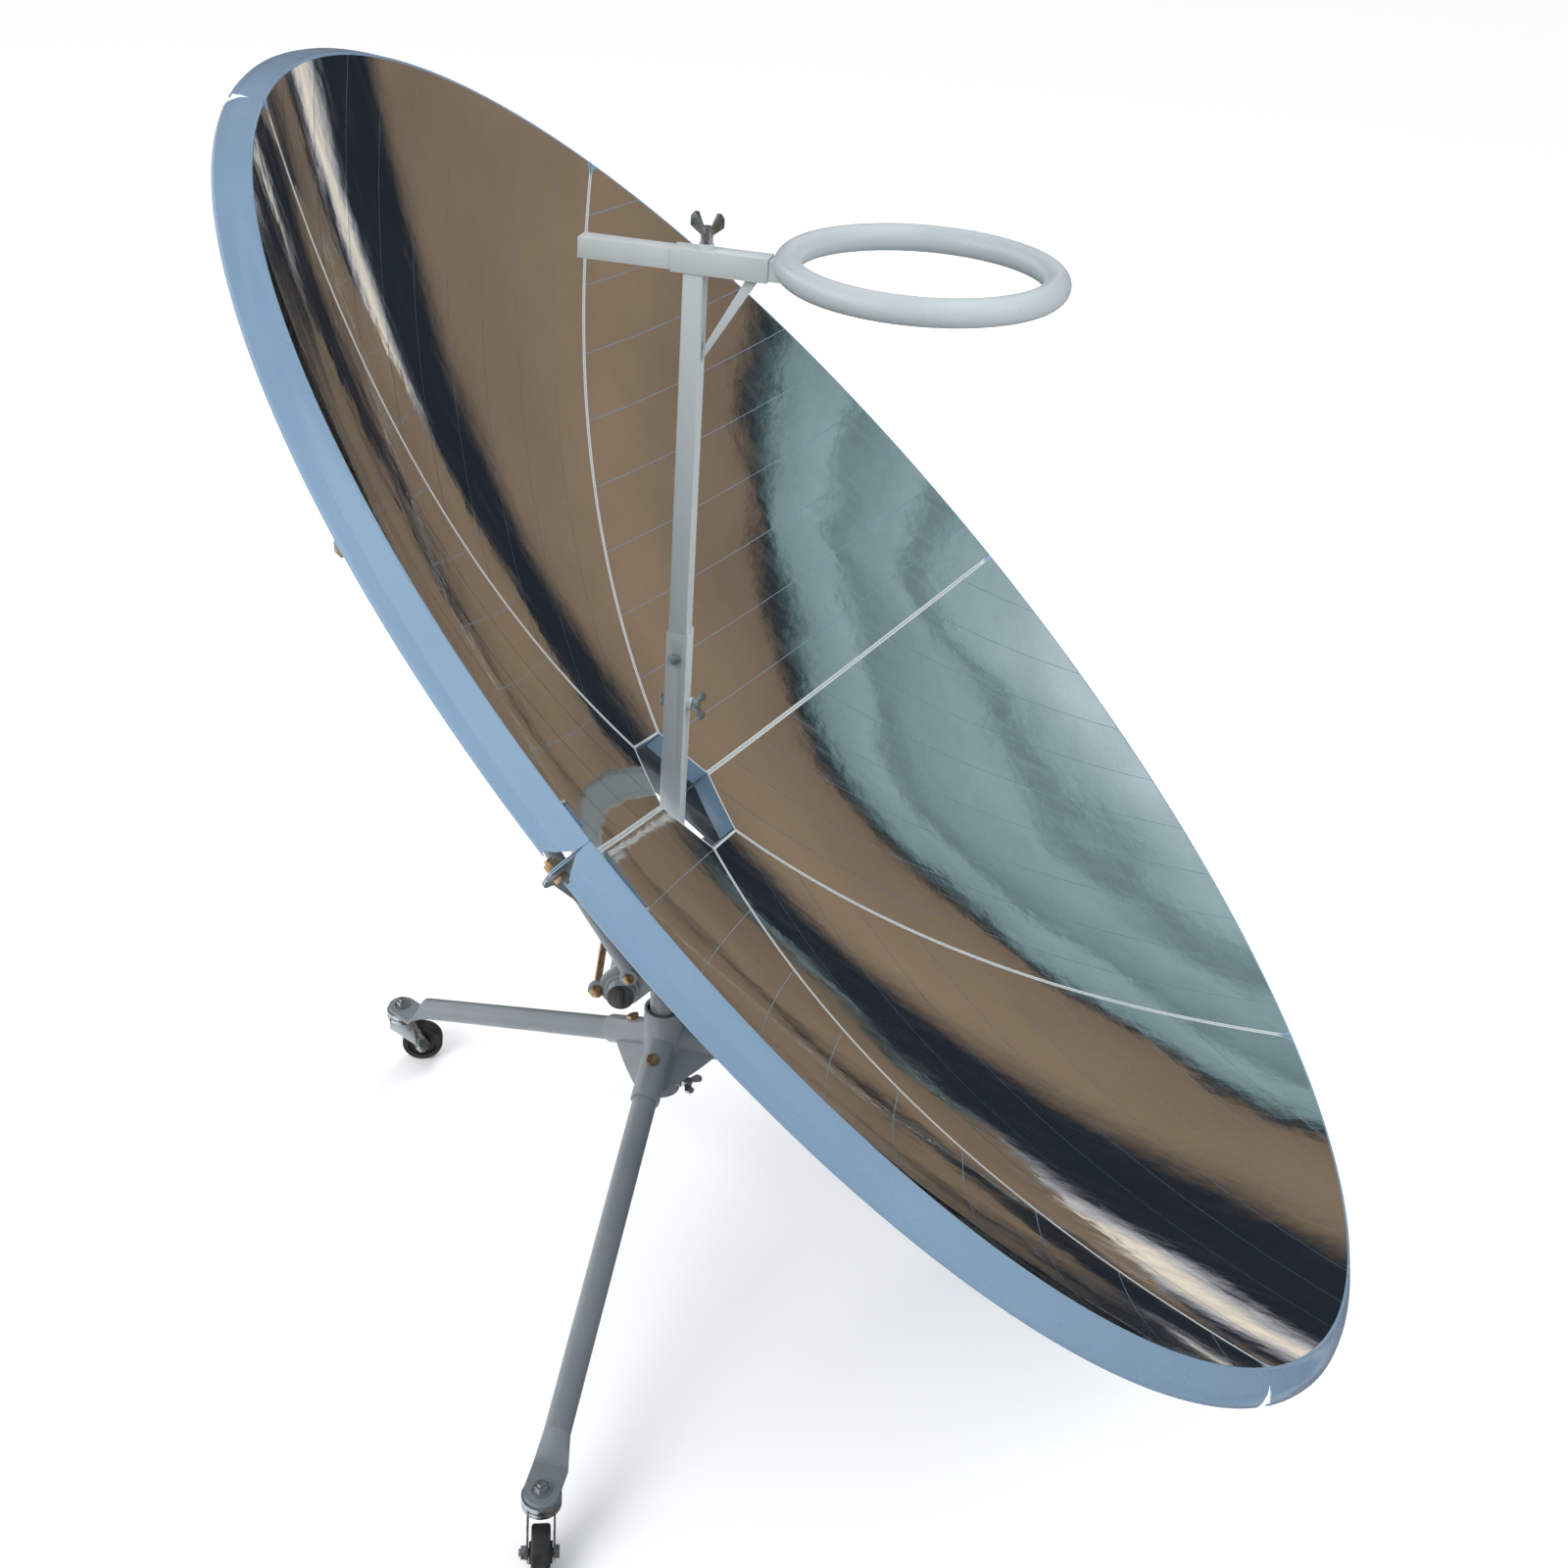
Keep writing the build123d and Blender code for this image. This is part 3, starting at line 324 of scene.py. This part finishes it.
FINISHES = {
    "dish_enamel": PowderCoat("dish_enamel", Colour.ENAMEL, Colour.ENAMEL_DEEP, 0.26, 0.000004, 0.4),
    "mirror_film": MirrorFilm(),
    "stand_paint": PowderCoat("stand_paint", Colour.STAND_WORN, Colour.STAND, 0.36, 0.00005, 0.3),
    "silver_paint": PowderCoat("silver_paint", Colour.SILVER_WORN, Colour.SILVER, 0.38, 0.00003, 0.15, 0.2),
    "ring_paint": PowderCoat("ring_paint", Colour.RING, Colour.RING_WORN, 0.34, 0.00003, 0.2, 0.1),
    "zinc_plate": PlatedSteel("zinc_plate", Colour.ZINC, Colour.SILVER),
    "yellow_zinc": PlatedSteel("yellow_zinc", Colour.YELLOW_ZINC_PALE, Colour.YELLOW_ZINC),
    "wheel_rubber": Moulded("wheel_rubber", Colour.RUBBER, Colour.RUBBER_DUST),
    "dark_plastic": Moulded("dark_plastic", Colour.PLASTIC, Colour.RUBBER_DUST, 0.4),
}


class PaintShop:
    """Makes each finish once and puts it on pieces."""

    def __init__(self) -> None:
        """Start with nothing mixed."""
        self.mixed: dict[str, bpy.types.Material] = {}

    def material(self, slot: str) -> bpy.types.Material:
        """The material of a slot, made on first use.

        Args:
            slot: The record's material slot.

        Returns:
            The material.
        """
        if slot not in self.mixed:
            self.mixed[slot] = FINISHES[slot].make()
        return self.mixed[slot]

    def dress(self, piece: bpy.types.Object, slot: str) -> None:
        """Put a slot's finish on a piece."""
        piece.data.materials.clear()
        piece.data.materials.append(self.material(slot))


# ------------------------------------------------------------------ mesh helpers
def to_object(name: str, mesh: bmesh.types.BMesh, sharp: float = 0.6) -> bpy.types.Object:
    """Turn a finished bmesh into an object at the origin, smooth but for its sharp edges.

    Args:
        name: The piece's name.
        mesh: The bmesh, which is freed.
        sharp: Edges that turn by more than this stay crisp, in radians.

    Returns:
        The new object.
    """
    for face in mesh.faces:
        face.smooth = True
    for edge in mesh.edges:
        edge.smooth = len(edge.link_faces) == 2 and edge.calc_face_angle(0.0) < sharp
    data = bpy.data.meshes.new(name)
    mesh.to_mesh(data)
    mesh.free()
    piece = bpy.data.objects.new(name, data)
    bpy.context.scene.collection.objects.link(piece)
    return piece


def cut(mesh: bmesh.types.BMesh, point: Vector, normal: Vector, drop_outer: bool = True) -> None:
    """Cut a mesh by a plane.

    Args:
        mesh: The mesh.
        point: A point on the plane.
        normal: The plane's normal.
        drop_outer: Whether to throw away what lies on the normal's side.
    """
    bmesh.ops.bisect_plane(
        mesh, geom=mesh.verts[:] + mesh.edges[:] + mesh.faces[:], dist=1e-7, plane_co=point, plane_no=normal,
        clear_outer=drop_outer,
    )


@dataclass
class Casting:
    """A finished copy of a frame node: its facets merged, its sharp edges rounded."""

    node: str
    slot: str
    body: str
    edge: float = 0.0006
    segments: int = 2
    sharp: float = 0.45

    def build(self, shop: PaintShop) -> bpy.types.Object:
        """Copy, merge, round and dress the node.

        Args:
            shop: The paint shop.

        Returns:
            The new piece.
        """
        mesh = bmesh.new()
        mesh.from_mesh(frame["nodes"][self.node].data)
        bmesh.ops.remove_doubles(mesh, verts=mesh.verts[:], dist=2e-6)
        bmesh.ops.dissolve_limit(
            mesh, angle_limit=0.004, use_dissolve_boundaries=False, verts=mesh.verts[:], edges=mesh.edges[:],
            delimit=set(),
        )
        if self.edge > 0:
            crisp = [e for e in mesh.edges if len(e.link_faces) == 2 and e.calc_face_angle(0.0) > self.sharp]
            bmesh.ops.bevel(
                mesh, geom=crisp, offset=self.edge, offset_type="OFFSET", segments=self.segments, profile=0.5,
                affect="EDGES", clamp_overlap=True, material=-1,
            )
        piece = to_object(f"{self.node}_finished", mesh, 0.5)
        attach(piece, self.body)
        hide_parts(self.node)
        shop.dress(piece, self.slot)
        LOG.info("finished %s", self.node)
        return piece


# ------------------------------------------------------------------ dish
@dataclass
class Dish:
    """Six pressed petals with folded edges and a flared rim, each lined with strips of mirror film."""

    rim: float = 0.750
    focal: float = 0.574
    hole: float = 0.073
    gap: float = 0.0004
    sheet: float = 0.0010
    flange: float = 0.0355
    inner_flange: float = 0.0195
    skirt_out: float = 0.020
    skirt_back: float = 0.018
    skirt_lip: float = 0.005
    corner: float = 0.018
    film_margin: float = 0.0026
    film_lift: float = 0.0003
    strip: float = 0.068
    strip_gap: float = 0.0009
    tilt: float = math.radians(43.9)
    turn: float = 7.8
    apex: Vector = field(default_factory=lambda: Vector((MAST_X + 0.0108, 0.0, 0.5826)))
    petals: int = 6
    steps: int = 44

    def __post_init__(self) -> None:
        """Work out the dish's own axes."""
        low = Vector((math.cos(self.tilt), 0.0, -math.sin(self.tilt)))
        axis = Vector((math.sin(self.tilt), 0.0, math.cos(self.tilt)))
        self.place = Matrix((
            (low.x, 0.0, axis.x, self.apex.x),
            (low.y, 1.0, axis.y, self.apex.y),
            (low.z, 0.0, axis.z, self.apex.z),
            (0.0, 0.0, 0.0, 1.0),
        ))
        self.apothem = self.hole * math.cos(math.pi / self.petals)

    def bowl(self, r: float) -> float:
        """Height of the mirror surface at a radius."""
        return r * r / (4 * self.focal)

    def spun(self, profile: list[tuple[float, float]]) -> bmesh.types.BMesh:
        """Spin a profile into a sector a little wider than a petal, its middle on +X.

        Args:
            profile: Radius and height of its points.

        Returns:
            The sector's bmesh.
        """
        mesh = bmesh.new()
        half = math.pi / self.petals + 0.03
        start = Matrix.Rotation(-half, 4, "Z")
        points = [mesh.verts.new(start @ Vector((r, 0.0, h))) for r, h in profile]
        chain = [mesh.edges.new(pair) for pair in zip(points, points[1:])]
        bmesh.ops.spin(
            mesh, geom=points + chain, cent=(0, 0, 0), axis=(0, 0, 1), angle=2 * half, steps=self.steps,
            use_merge=False, use_duplicate=False,
        )
        return mesh

    def trim(self, mesh: bmesh.types.BMesh, inset: float, inner: float, outer: float, corner: float) -> None:
        """Cut a sector to a petal's outline with rounded outer corners.

        Args:
            mesh: The sector.
            inset: From the joint's middle to the straight sides.
            inner: Distance of the straight inner edge.
            outer: Radius of the outer edge.
            corner: Radius of its corners.
        """
        half = math.pi / self.petals
        for side in (-1, 1):
            flank = Vector((-math.sin(half), side * math.cos(half), 0.0))
            cut(mesh, flank * -inset, flank)
            swing = half - math.asin((inset + corner) / (outer - corner))
            centre = Vector((math.cos(swing), side * math.sin(swing), 0.0)) * (outer - corner)
            for degrees in range(35, 120, 12):
                way = Vector((math.cos(math.radians(degrees)), side * math.sin(math.radians(degrees)), 0.0))
                cut(mesh, centre + way * corner, way)
        cut(mesh, Vector((inner, 0.0, 0.0)), Vector((-1.0, 0.0, 0.0)))

    def on_side(self, edge: bmesh.types.BMEdge, inset: float) -> bool:
        """Whether an edge lies along one of the petal's two straight sides, inside the rim."""
        half = math.pi / self.petals
        for side in (-1, 1):
            flank = Vector((-math.sin(half), side * math.cos(half), 0.0))
            if all(abs(v.co.dot(flank) + inset) < 1e-5 and v.co.xy.length < self.rim for v in edge.verts):
                return True
        return False

    def fold(self, mesh: bmesh.types.BMesh, edges: list[bmesh.types.BMEdge], depth: float) -> None:
        """Fold edges down along the dish axis and round the bend.

        Args:
            mesh: The petal.
            edges: Its free edges to fold.
            depth: How deep the fold is.
        """
        grown = bmesh.ops.extrude_edge_only(mesh, edges=edges)["geom"]
        moved = [item for item in grown if isinstance(item, bmesh.types.BMVert)]
        bmesh.ops.translate(mesh, verts=moved, vec=(0.0, 0.0, -depth))
        bends = [edge for edge in edges if edge.is_valid and len(edge.link_faces) == 2]
        bmesh.ops.bevel(
            mesh, geom=bends, offset=0.0014, offset_type="OFFSET", segments=3, profile=0.5, affect="EDGES",
            clamp_overlap=True, material=-1,
        )

    def petal_profile(self) -> list[tuple[float, float]]:
        """The petal's section from its inner edge over the rim to the skirt's back lip."""
        first = self.apothem - 0.012
        count = 46
        line = []
        for index in range(count + 1):
            r = first + (self.rim - 0.003 - first) * index / count
            line.append((r, self.bowl(r)))
        top = self.bowl(self.rim)
        out = self.rim + self.skirt_out
        line += [
            (self.rim - 0.0010, top - 0.0004),
            (self.rim + 0.0004, top - 0.0007),
            (self.rim + 0.0015, top - 0.0020),
            (self.rim + 0.0080, top - 0.0063),
            (self.rim + 0.0140, top - 0.0108),
            (self.rim + 0.0158, top - 0.0125),
            (self.rim + 0.0166, top - 0.0140),
            (self.rim + 0.0182, top - 0.0160),
            (out - 0.0006, top - self.skirt_back),
            (out, top - self.skirt_back - 0.0012),
            (out, top - self.skirt_back - self.skirt_lip + 0.0006),
            (out - 0.0009, top - self.skirt_back - self.skirt_lip),
        ]
        return line

    def film_profile(self) -> list[tuple[float, float]]:
        """The mirror film's section."""
        first = self.apothem - 0.012
        last = self.rim - self.film_margin
        count = 60
        line = []
        for index in range(count + 1):
            r = first + (last - first) * index / count
            line.append((r, self.bowl(r) + self.film_lift))
        return line

    def to_place(self, mesh: bmesh.types.BMesh, number: int) -> None:
        """Turn a petal-shaped mesh from +X to its own place in the dish and face it to the focus."""
        turn = Matrix.Rotation(math.radians(self.turn + 60.0 * (number + 0.5)), 4, "Z")
        bmesh.ops.transform(mesh, matrix=self.place @ turn, verts=mesh.verts[:])

    def build_petal(self, number: int, shop: PaintShop) -> None:
        """Build one painted petal.

        Args:
            number: Its place, from 0.
            shop: The paint shop.
        """
        mesh = self.spun(self.petal_profile())
        inset = self.gap / 2
        self.trim(mesh, inset, self.apothem, self.rim + self.skirt_out + 0.001, self.corner)
        bmesh.ops.recalc_face_normals(mesh, faces=mesh.faces[:])
        if sum(face.normal.z for face in mesh.faces) < 0:
            bmesh.ops.reverse_faces(mesh, faces=mesh.faces[:])
        free = [edge for edge in mesh.edges if len(edge.link_faces) == 1]
        sides = [edge for edge in free if self.on_side(edge, inset)]
        inner = [edge for edge in free if all(abs(v.co.x - self.apothem) < 1e-5 for v in edge.verts)]
        self.fold(mesh, sides, self.flange)
        inner = [edge for edge in inner if edge.is_valid]
        self.fold(mesh, inner, self.inner_flange)
        self.to_place(mesh, number)
        name = f"petal_{number + 1}"
        piece = to_object(f"{name}_pressed", mesh, 0.55)
        solid = piece.modifiers.new("thickness", "SOLIDIFY")
        solid.thickness = self.sheet
        solid.offset = -1.0
        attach(piece, "dish")
        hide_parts(name)
        shop.dress(piece, "dish_enamel")
        LOG.info("pressed %s", name)

    def build_film(self, number: int, shop: PaintShop) -> None:
        """Build the mirror strips of one petal.

        Args:
            number: The petal's place, from 0.
            shop: The paint shop.
        """
        mesh = self.spun(self.film_profile())
        margin = self.film_margin
        self.trim(mesh, margin, self.apothem + margin, self.rim, self.corner - margin)
        across = Vector((math.sin(math.pi / 6), math.cos(math.pi / 6), 0.0))
        reach = self.strip * (0.75 + 0.05 * number)
        while reach < self.rim:
            for edge in (-self.strip_gap / 2, self.strip_gap / 2):
                cut(mesh, across * (reach + edge), across, drop_outer=False)
            middles = {face: face.calc_center_median().dot(across) for face in mesh.faces}
            seam = [face for face, spot in middles.items() if abs(spot - reach) < self.strip_gap / 2]
            bmesh.ops.delete(mesh, geom=seam, context="FACES")
            reach += self.strip
        bmesh.ops.recalc_face_normals(mesh, faces=mesh.faces[:])
        for face in mesh.faces:
            if face.normal.z < 0:
                face.normal_flip()
        self.to_place(mesh, number)
        name = f"mirror_{number + 1}"
        piece = to_object(f"{name}_strips", mesh, 0.9)
        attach(piece, "dish")
        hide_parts(name)
        shop.dress(piece, "mirror_film")
        LOG.info("laid %s", name)

    def build_edging(self, number: int, shop: PaintShop) -> None:
        """Build the bright edge left bare round the film of one petal.

        Args:
            number: The petal's place, from 0.
            shop: The paint shop.
        """
        mesh = self.spun(self.film_profile())
        self.trim(mesh, self.gap / 2, self.apothem, self.rim, self.corner)
        half = math.pi / self.petals
        margin = self.film_margin
        flanks = [Vector((-math.sin(half), side * math.cos(half), 0.0)) for side in (-1, 1)]
        for flank in flanks:
            cut(mesh, flank * -margin, flank, drop_outer=False)
        cut(mesh, Vector((self.apothem + margin, 0.0, 0.0)), Vector((1.0, 0.0, 0.0)), drop_outer=False)
        middle = []
        for face in mesh.faces:
            spot = face.calc_center_median()
            if spot.x > self.apothem + margin and all(spot.dot(flank) < -margin for flank in flanks):
                middle.append(face)
        bmesh.ops.delete(mesh, geom=middle, context="FACES")
        for face in mesh.faces:
            if face.normal.z < 0:
                face.normal_flip()
        self.to_place(mesh, number)
        piece = to_object(f"petal_{number + 1}_edging", mesh, 0.9)
        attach(piece, "dish")
        shop.dress(piece, "silver_paint")

    def build(self, shop: PaintShop) -> None:
        """Build every petal, its film and its bright edges."""
        for number in range(self.petals):
            self.build_petal(number, shop)
            self.build_film(number, shop)
            self.build_edging(number, shop)


# ------------------------------------------------------------------ mechanical pieces
@dataclass
class Hardware:
    """Every metal, rubber and plastic piece that keeps its frame shape, with finished edges."""

    fine: tuple[str, ...] = ("bolts", "screw", "nut", "axle", "tie_rod")
    soft: tuple[str, ...] = ("castor_wheel",)

    def build(self, shop: PaintShop) -> None:
        """Finish each node that isn't part of the dish's sheet.

        Args:
            shop: The paint shop.
        """
        slots = {entry["node"]: entry["material_slot"] for entry in frame["record"]["subparts"]}
        bodies = frame["record"]["behaviour"]["bodies"]
        for body, members in bodies.items():
            for node in members:
                if node.startswith(("petal", "mirror")):
                    continue
                edge = 0.0006
                if any(word in node for word in self.fine):
                    edge = 0.00035
                if any(word in node for word in self.soft):
                    edge = 0.0
                Casting(node, slots[node], body, edge).build(shop)


# ------------------------------------------------------------------ painted reflections
@dataclass(frozen=True)
class PaintedReflectionWorld:
    """Even white light all round, and for glossy rays only a painted reflection of earth, dark shade and pale
    sky.

    The far part follows the height of a direction, and the near part how far it leans to the side. Positions
    run from 0 to 1 for directions from -1 to 1.
    """

    light: float = 1.06
    patch: float = 3.6
    far_wander: float = 0.22
    near_wander: float = 0.10
    lean: float = 0.5
    meet: tuple[float, float] = (0.762, 0.806)
    far: tuple[tuple[float, ReflectionPaint], ...] = (
        (0.40, ReflectionPaint.EARTH_DARK), (0.50, ReflectionPaint.EARTH), (0.60, ReflectionPaint.EARTH_LIT), (0.685, ReflectionPaint.EARTH),
        (0.698, ReflectionPaint.SHADOW), (0.706, ReflectionPaint.TREE), (0.714, ReflectionPaint.SKY), (0.742, ReflectionPaint.SKY_PALE),
        (0.752, ReflectionPaint.TREE_PALE), (0.762, ReflectionPaint.SKY), (0.795, ReflectionPaint.SKY_PALE), (0.806, ReflectionPaint.TREE_PALE),
        (0.818, ReflectionPaint.SKY_PALE), (0.875, ReflectionPaint.SKY_HIGH), (0.95, ReflectionPaint.SUNLIT),
    )
    near: tuple[tuple[float, ReflectionPaint], ...] = (
        (0.23, ReflectionPaint.SUNLIT), (0.31, ReflectionPaint.EARTH_DARK), (0.52, ReflectionPaint.EARTH_DARK), (0.555, ReflectionPaint.EARTH),
        (0.575, ReflectionPaint.SHADOW), (0.590, ReflectionPaint.EARTH_DARK), (0.612, ReflectionPaint.EARTH), (0.622, ReflectionPaint.SHADOW),
        (0.633, ReflectionPaint.SHADOW), (0.642, ReflectionPaint.GLARE_DULL), (0.657, ReflectionPaint.GLARE), (0.672, ReflectionPaint.GLARE_DULL),
        (0.686, ReflectionPaint.SHADOW), (0.762, ReflectionPaint.SHADOW), (0.800, ReflectionPaint.EARTH_DARK),
    )

    def offset(self, tree: bpy.types.NodeTree, source: bpy.types.NodeSocket, share: float,
               base: bpy.types.NodeSocket) -> bpy.types.NodeSocket:
        """Add a share of one value to another.

        Args:
            tree: The world's node tree.
            source: The value of which a share is taken.
            share: The share.
            base: The value it is added to.

        Returns:
            The sum's socket.
        """
        node = tree.nodes.new("ShaderNodeMath")
        node.operation = "MULTIPLY_ADD"
        node.inputs[1].default_value = share
        tree.links.new(source, node.inputs[0])
        tree.links.new(base, node.inputs[2])
        return node.outputs["Value"]

    def spread(self, tree: bpy.types.NodeTree, source: bpy.types.NodeSocket, wander: float
               ) -> bpy.types.NodeSocket:
        """Bring a wandering direction from -1..1 to 0..1.

        Args:
            tree: The world's node tree.
            source: The direction's value.
            wander: How much noise was added to it.

        Returns:
            The spread value's socket.
        """
        node = tree.nodes.new("ShaderNodeMapRange")
        node.inputs["From Min"].default_value = -1.0 + wander / 2
        node.inputs["From Max"].default_value = 1.0 + wander / 2
        tree.links.new(source, node.inputs["Value"])
        return node.outputs["Result"]

    def bands(self, tree: bpy.types.NodeTree, source: bpy.types.NodeSocket,
              stops: tuple[tuple[float, ReflectionPaint], ...]) -> bpy.types.NodeSocket:
        """Lay bands of painted reflection colour over a spread direction.

        Args:
            tree: The world's node tree.
            source: The spread direction.
            stops: Positions and painted reflection colours in rising order.

        Returns:
            The colour socket.
        """
        node = tree.nodes.new("ShaderNodeValToRGB")
        elements = node.color_ramp.elements
        for index, (position, shade) in enumerate(stops):
            element = elements[index] if index < 2 else elements.new(position)
            element.position = position
            element.color = shade.value
        tree.links.new(source, node.inputs["Fac"])
        return node.outputs["Color"]

    def colours(self, tree: bpy.types.NodeTree) -> bpy.types.NodeSocket:
        """The painted reflection colour in every direction.

        Args:
            tree: The world's node tree.

        Returns:
            The colour socket.
        """
        place = tree.nodes.new("ShaderNodeTexCoord").outputs["Generated"]
        split = tree.nodes.new("ShaderNodeSeparateXYZ")
        tree.links.new(place, split.inputs["Vector"])
        noise = tree.nodes.new("ShaderNodeTexNoise")
        noise.inputs["Scale"].default_value = self.patch
        noise.inputs["Detail"].default_value = 6.0
        tree.links.new(place, noise.inputs["Vector"])
        drift = noise.outputs["Fac"]
        leaning = self.offset(tree, split.outputs["Z"], self.lean, split.outputs["X"])
        risen = self.offset(tree, drift, self.far_wander, split.outputs["Z"])
        swung = self.offset(tree, drift, self.near_wander, leaning)
        height = self.spread(tree, risen, self.far_wander)
        side = self.spread(tree, swung, self.near_wander)
        step = tree.nodes.new("ShaderNodeMapRange")
        step.interpolation_type = "SMOOTHSTEP"
        step.inputs["From Min"].default_value, step.inputs["From Max"].default_value = self.meet
        tree.links.new(side, step.inputs["Value"])
        blend = tree.nodes.new("ShaderNodeMix")
        blend.data_type = "RGBA"
        tree.links.new(step.outputs["Result"], blend.inputs["Factor"])
        tree.links.new(self.bands(tree, side, self.near), blend.inputs["A"])
        tree.links.new(self.bands(tree, height, self.far), blend.inputs["B"])
        return blend.outputs["Result"]

    def build(self) -> None:
        """Make the world: white for light, the painted reflection pattern for glossy rays."""
        world = bpy.data.worlds.new("studio")
        bpy.context.scene.world = world
        world.use_nodes = True
        tree = world.node_tree
        tree.nodes.clear()
        painted_reflection = tree.nodes.new("ShaderNodeBackground")
        tree.links.new(self.colours(tree), painted_reflection.inputs["Color"])
        even = tree.nodes.new("ShaderNodeBackground")
        even.inputs["Color"].default_value = (1.0, 1.0, 1.0, 1.0)
        even.inputs["Strength"].default_value = self.light
        path = tree.nodes.new("ShaderNodeLightPath")
        mix = tree.nodes.new("ShaderNodeMixShader")
        # painted reflection: glossy rays see the banded pattern, all other rays the even white light
        tree.links.new(path.outputs["Is Glossy Ray"], mix.inputs["Fac"])
        tree.links.new(even.outputs["Background"], mix.inputs[1])
        tree.links.new(painted_reflection.outputs["Background"], mix.inputs[2])
        output = tree.nodes.new("ShaderNodeOutputWorld")
        tree.links.new(mix.outputs["Shader"], output.inputs["Surface"])


# ------------------------------------------------------------------ studio
@dataclass
class Studio:
    """Floor, light, painted reflections and camera."""

    eye: Vector = field(default_factory=lambda: Vector((MAST_X + 0.0668, -1.7503, 1.6229)))
    aim: Vector = field(default_factory=lambda: Vector((-0.06471, 0.04864, 0.74965)))
    roll: float = math.radians(3.928)
    lens: float = 45.73
    sensor: float = 36.0
    shift_y: float = -0.0994

    def floor(self) -> None:
        """A plain pale floor."""
        mesh = bmesh.new()
        bmesh.ops.create_grid(mesh, x_segments=1, y_segments=1, size=40.0)
        ground = to_object("studio_floor", mesh)
        board = NodeBoard("studio_floor")
        board.surface(Base_Color=Colour.FLOOR.value, Roughness=0.9)
        ground.data.materials.append(board.material)
        # hidden from glossy rays, so the painted reflection shows in the mirrors in its place
        ground.visible_glossy = False

    def lamp(self, name: str, spot: tuple[float, float, float], aim: tuple[float, float, float], size: float,
             power: float, tint: tuple[float, float, float]) -> None:
        """A soft square light.

        Args:
            name: The light's name.
            spot: Where it hangs.
            aim: What it points at.
            size: Its side in metres.
            power: Its power in watts.
            tint: Its colour.
        """
        data = bpy.data.lights.new(name, "AREA")
        data.shape = "SQUARE"
        data.size = size
        data.energy = power
        data.color = tint
        light = bpy.data.objects.new(name, data)
        light.location = spot
        # hidden from glossy rays, so the mirrors show the painted reflection instead of the lamp
        light.visible_glossy = False
        light.rotation_euler = (Vector(aim) - Vector(spot)).to_track_quat("-Z", "Y").to_euler()
        bpy.context.scene.collection.objects.link(light)

    def camera(self) -> None:
        """The camera, from the front of the cooker's left side."""
        data = bpy.data.cameras.new("camera")
        data.lens = self.lens
        data.sensor_width = self.sensor
        data.shift_y = self.shift_y
        data.clip_end = 200.0
        camera = bpy.data.objects.new("camera", data)
        level = (self.aim - self.eye).to_track_quat("-Z", "Y").to_matrix().to_4x4()
        camera.matrix_world = Matrix.Translation(self.eye) @ level @ Matrix.Rotation(self.roll, 4, "Z")
        bpy.context.scene.collection.objects.link(camera)
        bpy.context.scene.camera = camera

    def build(self) -> None:
        """Set up the whole studio."""
        self.floor()
        # painted reflections for glossy rays, even white light for the rest
        PaintedReflectionWorld().build()
        self.lamp("key", (-2.6, -2.4, 3.4), (0.0, 0.0, 0.6), 2.4, 120.0, (1.0, 0.99, 0.97))
        self.lamp("fill", (3.2, -1.2, 2.6), (0.0, 0.0, 0.7), 2.0, 60.0, (0.97, 0.98, 1.0))
        self.lamp("rim", (0.6, 3.2, 3.0), (0.0, 0.0, 0.8), 2.0, 60.0, (1.0, 1.0, 1.0))
        self.camera()
        scene = bpy.context.scene
        scene.view_settings.view_transform = "Standard"
        LOG.info("studio ready")


def main() -> None:
    """Build the cooker's looks piece by piece."""
    logging.basicConfig(level=logging.INFO, format="%(name)s: %(message)s")
    shop = PaintShop()
    Studio().build()
    Dish().build(shop)
    Hardware().build(shop)


if __name__ == "__main__":
    main()
